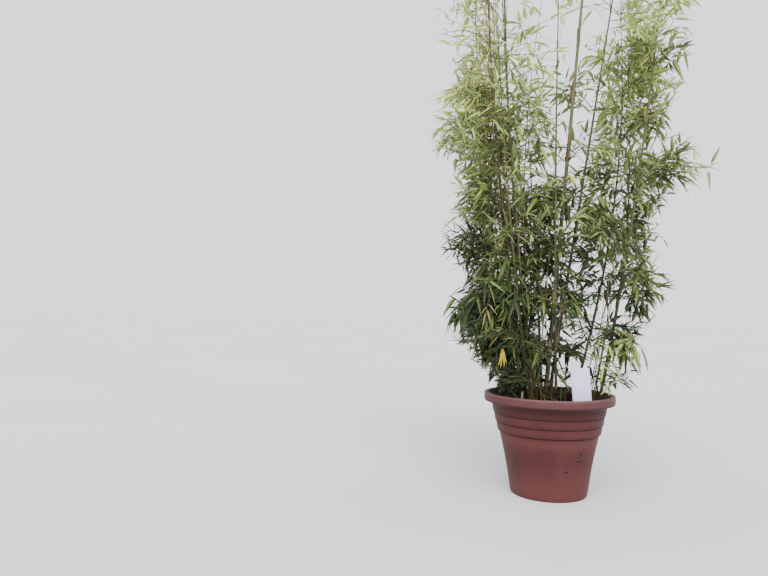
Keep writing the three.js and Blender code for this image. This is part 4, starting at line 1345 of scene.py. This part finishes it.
FOLIAGE_FOOT = 300
CLUMP_RADIUS = 130
CLUMP_WIDENING = 0.11
OUTMOST = 1.3
OUTER_LIGHT = 0.17
HIGH_OUTER_LIGHT = 0.2
HIGH_LIGHT = 1.3
CROWN_SHADE = 0.36
CROWD_SHADE = 0.09
CROWD_CELL = 90
BRANCH_UNLIKE = 0.16
SPRAY_UNLIKE = 0.11
FULL_LIGHT_HEIGHT = 1500
CROWN_SHADE_HEIGHTS = (1480, 1730)
BRIGHT_SPRAY = 0.4
BRIGHT_SPRAY_FROM = 150
BRIGHT_SPRAY_TOP = 460
RIGHT_SHADE = 0.2
RIGHT_SHADE_PLACES = (130, 230)
RIGHT_SHADE_HEIGHTS = (700, 1000)

# A spray's painted light grows with its height and its distance from the clump's middle, falls where sprays
# crowd and at the crown's top, and varies by chance from branch to branch. The low spray at the right has
# more, and the upper right less. The sprays get their tints by rank of this light, which paints light and
# shade into the leaves' colour, and a few turn straw by chance.

end_height = spray_ends[:, 2]
seen_x, seen_height = where_seen(spray_ends).T
off_middle = np.linalg.norm(spray_ends[:, :2] - np.array([CLUMP_MIDDLE, 0]), axis=1)
clump_radius = CLUMP_RADIUS + CLUMP_WIDENING * (end_height - FOLIAGE_FOOT)
outer = np.clip(off_middle / clump_radius, 0, OUTMOST)
lift = rising(end_height, FOLIAGE_FOOT, FULL_LIGHT_HEIGHT)
branch_unlike = growth.normal(0, BRANCH_UNLIKE, len(branch_paths))
_, cell, in_cell = np.unique(spray_ends // CROWD_CELL, axis=0, return_inverse=True, return_counts=True)
crowd = in_cell[cell.ravel()] / in_cell.mean()
light = (OUTER_LIGHT + HIGH_OUTER_LIGHT * lift) * outer + HIGH_LIGHT * lift
light = light - CROWN_SHADE * rising(end_height, *CROWN_SHADE_HEIGHTS) - CROWD_SHADE * crowd
light += branch_unlike[spray_branch] + growth.normal(0, SPRAY_UNLIKE, len(spray_paths))
light += BRIGHT_SPRAY * ((seen_x > BRIGHT_SPRAY_FROM) & (seen_height < BRIGHT_SPRAY_TOP))
right_shade = RIGHT_SHADE * rising(seen_x, *RIGHT_SHADE_PLACES)
light -= right_shade * rising(seen_height, *RIGHT_SHADE_HEIGHTS)
spray_tint = np.searchsorted(np.quantile(light, TINT_SHARES), light)
spray_tint[growth.uniform(size=len(spray_tint)) < STRAW_SHARE] = list(TINTS).index("straw")
spray_tint[withered] = list(TINTS).index("gold")
for number, (tint_name, tint) in enumerate(TINTS.items()):
    mine = leaf_fits & (spray_tint[leaf_spray] == number)
    finish = leaf_finish(f"leaf_{tint_name}", tint)
    add_leaves(f"leaves_{tint_name}_tint", finish, leaves, mine, mass_nodes)


# The fallen leaves are dry and brown, and nearly flat. They lie on the compost, well inside the wall and
# clear of the card.

FALLEN = 60
FALLEN_REACH = 138
FALLEN_LIFT = 6
FALLEN_LENGTHS = (40, 62)
FALLEN_SLENDERNESS = 0.15
FALLEN_DROOP = 0.02
FALLEN_ROLL = 0.3
FALLEN_CURL = 0.12
FALLEN_ROOM = 60
FALLEN_LIMIT = 142
DEAD_LEAF = (0.26, 0.185, 0.10)

fall = np.random.default_rng(3)
fallen_sides = outward(fall.uniform(0, 2 * np.pi, FALLEN))
roots = fallen_sides * (FALLEN_REACH * np.sqrt(fall.uniform(0, 1, FALLEN)))[:, None]
ways = outward(fall.uniform(0, 2 * np.pi, FALLEN))
lying = np.linalg.norm((roots + ways * FALLEN_ROOM)[:, :2], axis=1) < FALLEN_LIMIT
lying &= np.linalg.norm(roots[:, :2] - np.array(CARD_PLACE), axis=1) >= FALLEN_ROOM
roots[:, 2] = SOIL_TOP + FALLEN_LIFT + uneven(roots[:, 0], roots[:, 1])
lengths = fall.uniform(*FALLEN_LENGTHS, FALLEN)
rolls = fall.uniform(-FALLEN_ROLL, FALLEN_ROLL, FALLEN)
curls = fall.uniform(-FALLEN_CURL, FALLEN_CURL, FALLEN)
droops = np.full(FALLEN, FALLEN_DROOP)
leaves = (roots, ways, rolls, lengths, lengths * FALLEN_SLENDERNESS, droops, curls)
add_leaves("fallen_leaves", leaf_finish("leaf_fallen", DEAD_LEAF), leaves, lying, ())


# The floor and light are a plain pale studio: one large matt sheet, an even grey-white sky all round, and a
# wide soft light from high up in front. The camera stands where the plant was seen from.

FLOOR_RADIUS = 90.0
FLOOR_SIDES = 96
FLOOR_SHADED = (0.60, 0.60, 0.60)
FLOOR_PALE = (0.64, 0.64, 0.64)
SKY_COLOUR = (0.95, 0.97, 1.0, 1)
SKY_STRENGTH = 1.75
LAMP_STRENGTH = 4.2
LAMP_SPREAD = math.radians(50)
LAMP_WAY = (0.08, 0.72, -0.75)
SENSOR_WIDTH = 36
FOCAL_PIXELS = 621
IMAGE_WIDTH = 768
CAMERA_TILT = math.radians(90 + 2.30)
CAMERA_ROLL = math.radians(0.83)

rim_corners = outward(np.linspace(0, 2 * np.pi, FLOOR_SIDES, endpoint=False)) * FLOOR_RADIUS
floor_mesh = bpy.data.meshes.new("floor")
floor_mesh.from_pydata(rim_corners.tolist(), [], [list(range(FLOOR_SIDES))])
studio = Finish("pale_floor", 0.9, 0.2)
studio.colour(studio.ramp(studio.noise(0.8, 2.0, 0.5), [(0.3, *FLOOR_SHADED), (0.7, *FLOOR_PALE)]))
floor_mesh.materials.append(studio.material)
floor = bpy.data.objects.new("floor", floor_mesh)
bpy.context.scene.collection.objects.link(floor)
floor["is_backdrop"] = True

world = bpy.data.worlds.new("studio_sky")
world.use_nodes = True
world.node_tree.nodes["Background"].inputs["Color"].default_value = SKY_COLOUR
world.node_tree.nodes["Background"].inputs["Strength"].default_value = SKY_STRENGTH
bpy.context.scene.world = world

key_lamp = bpy.data.lights.new("key_lamp", "SUN")
key_lamp.energy = LAMP_STRENGTH
key_lamp.angle = LAMP_SPREAD
key_stand = bpy.data.objects.new("key_lamp", key_lamp)
key_stand.rotation_euler = Vector(LAMP_WAY).to_track_quat("-Z", "Y").to_euler()
bpy.context.scene.collection.objects.link(key_stand)

camera_data = bpy.data.cameras.new("camera")
camera_data.lens = FOCAL_PIXELS / IMAGE_WIDTH * SENSOR_WIDTH
camera_data.sensor_width = SENSOR_WIDTH
camera = bpy.data.objects.new("camera", camera_data)
bpy.context.scene.collection.objects.link(camera)
camera_turn = Matrix.Rotation(CAMERA_TILT, 4, "X") @ Matrix.Rotation(CAMERA_ROLL, 4, "Z")
camera.matrix_world = Matrix.Translation(EYE * MM) @ camera_turn
bpy.context.scene.camera = camera

low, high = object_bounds()
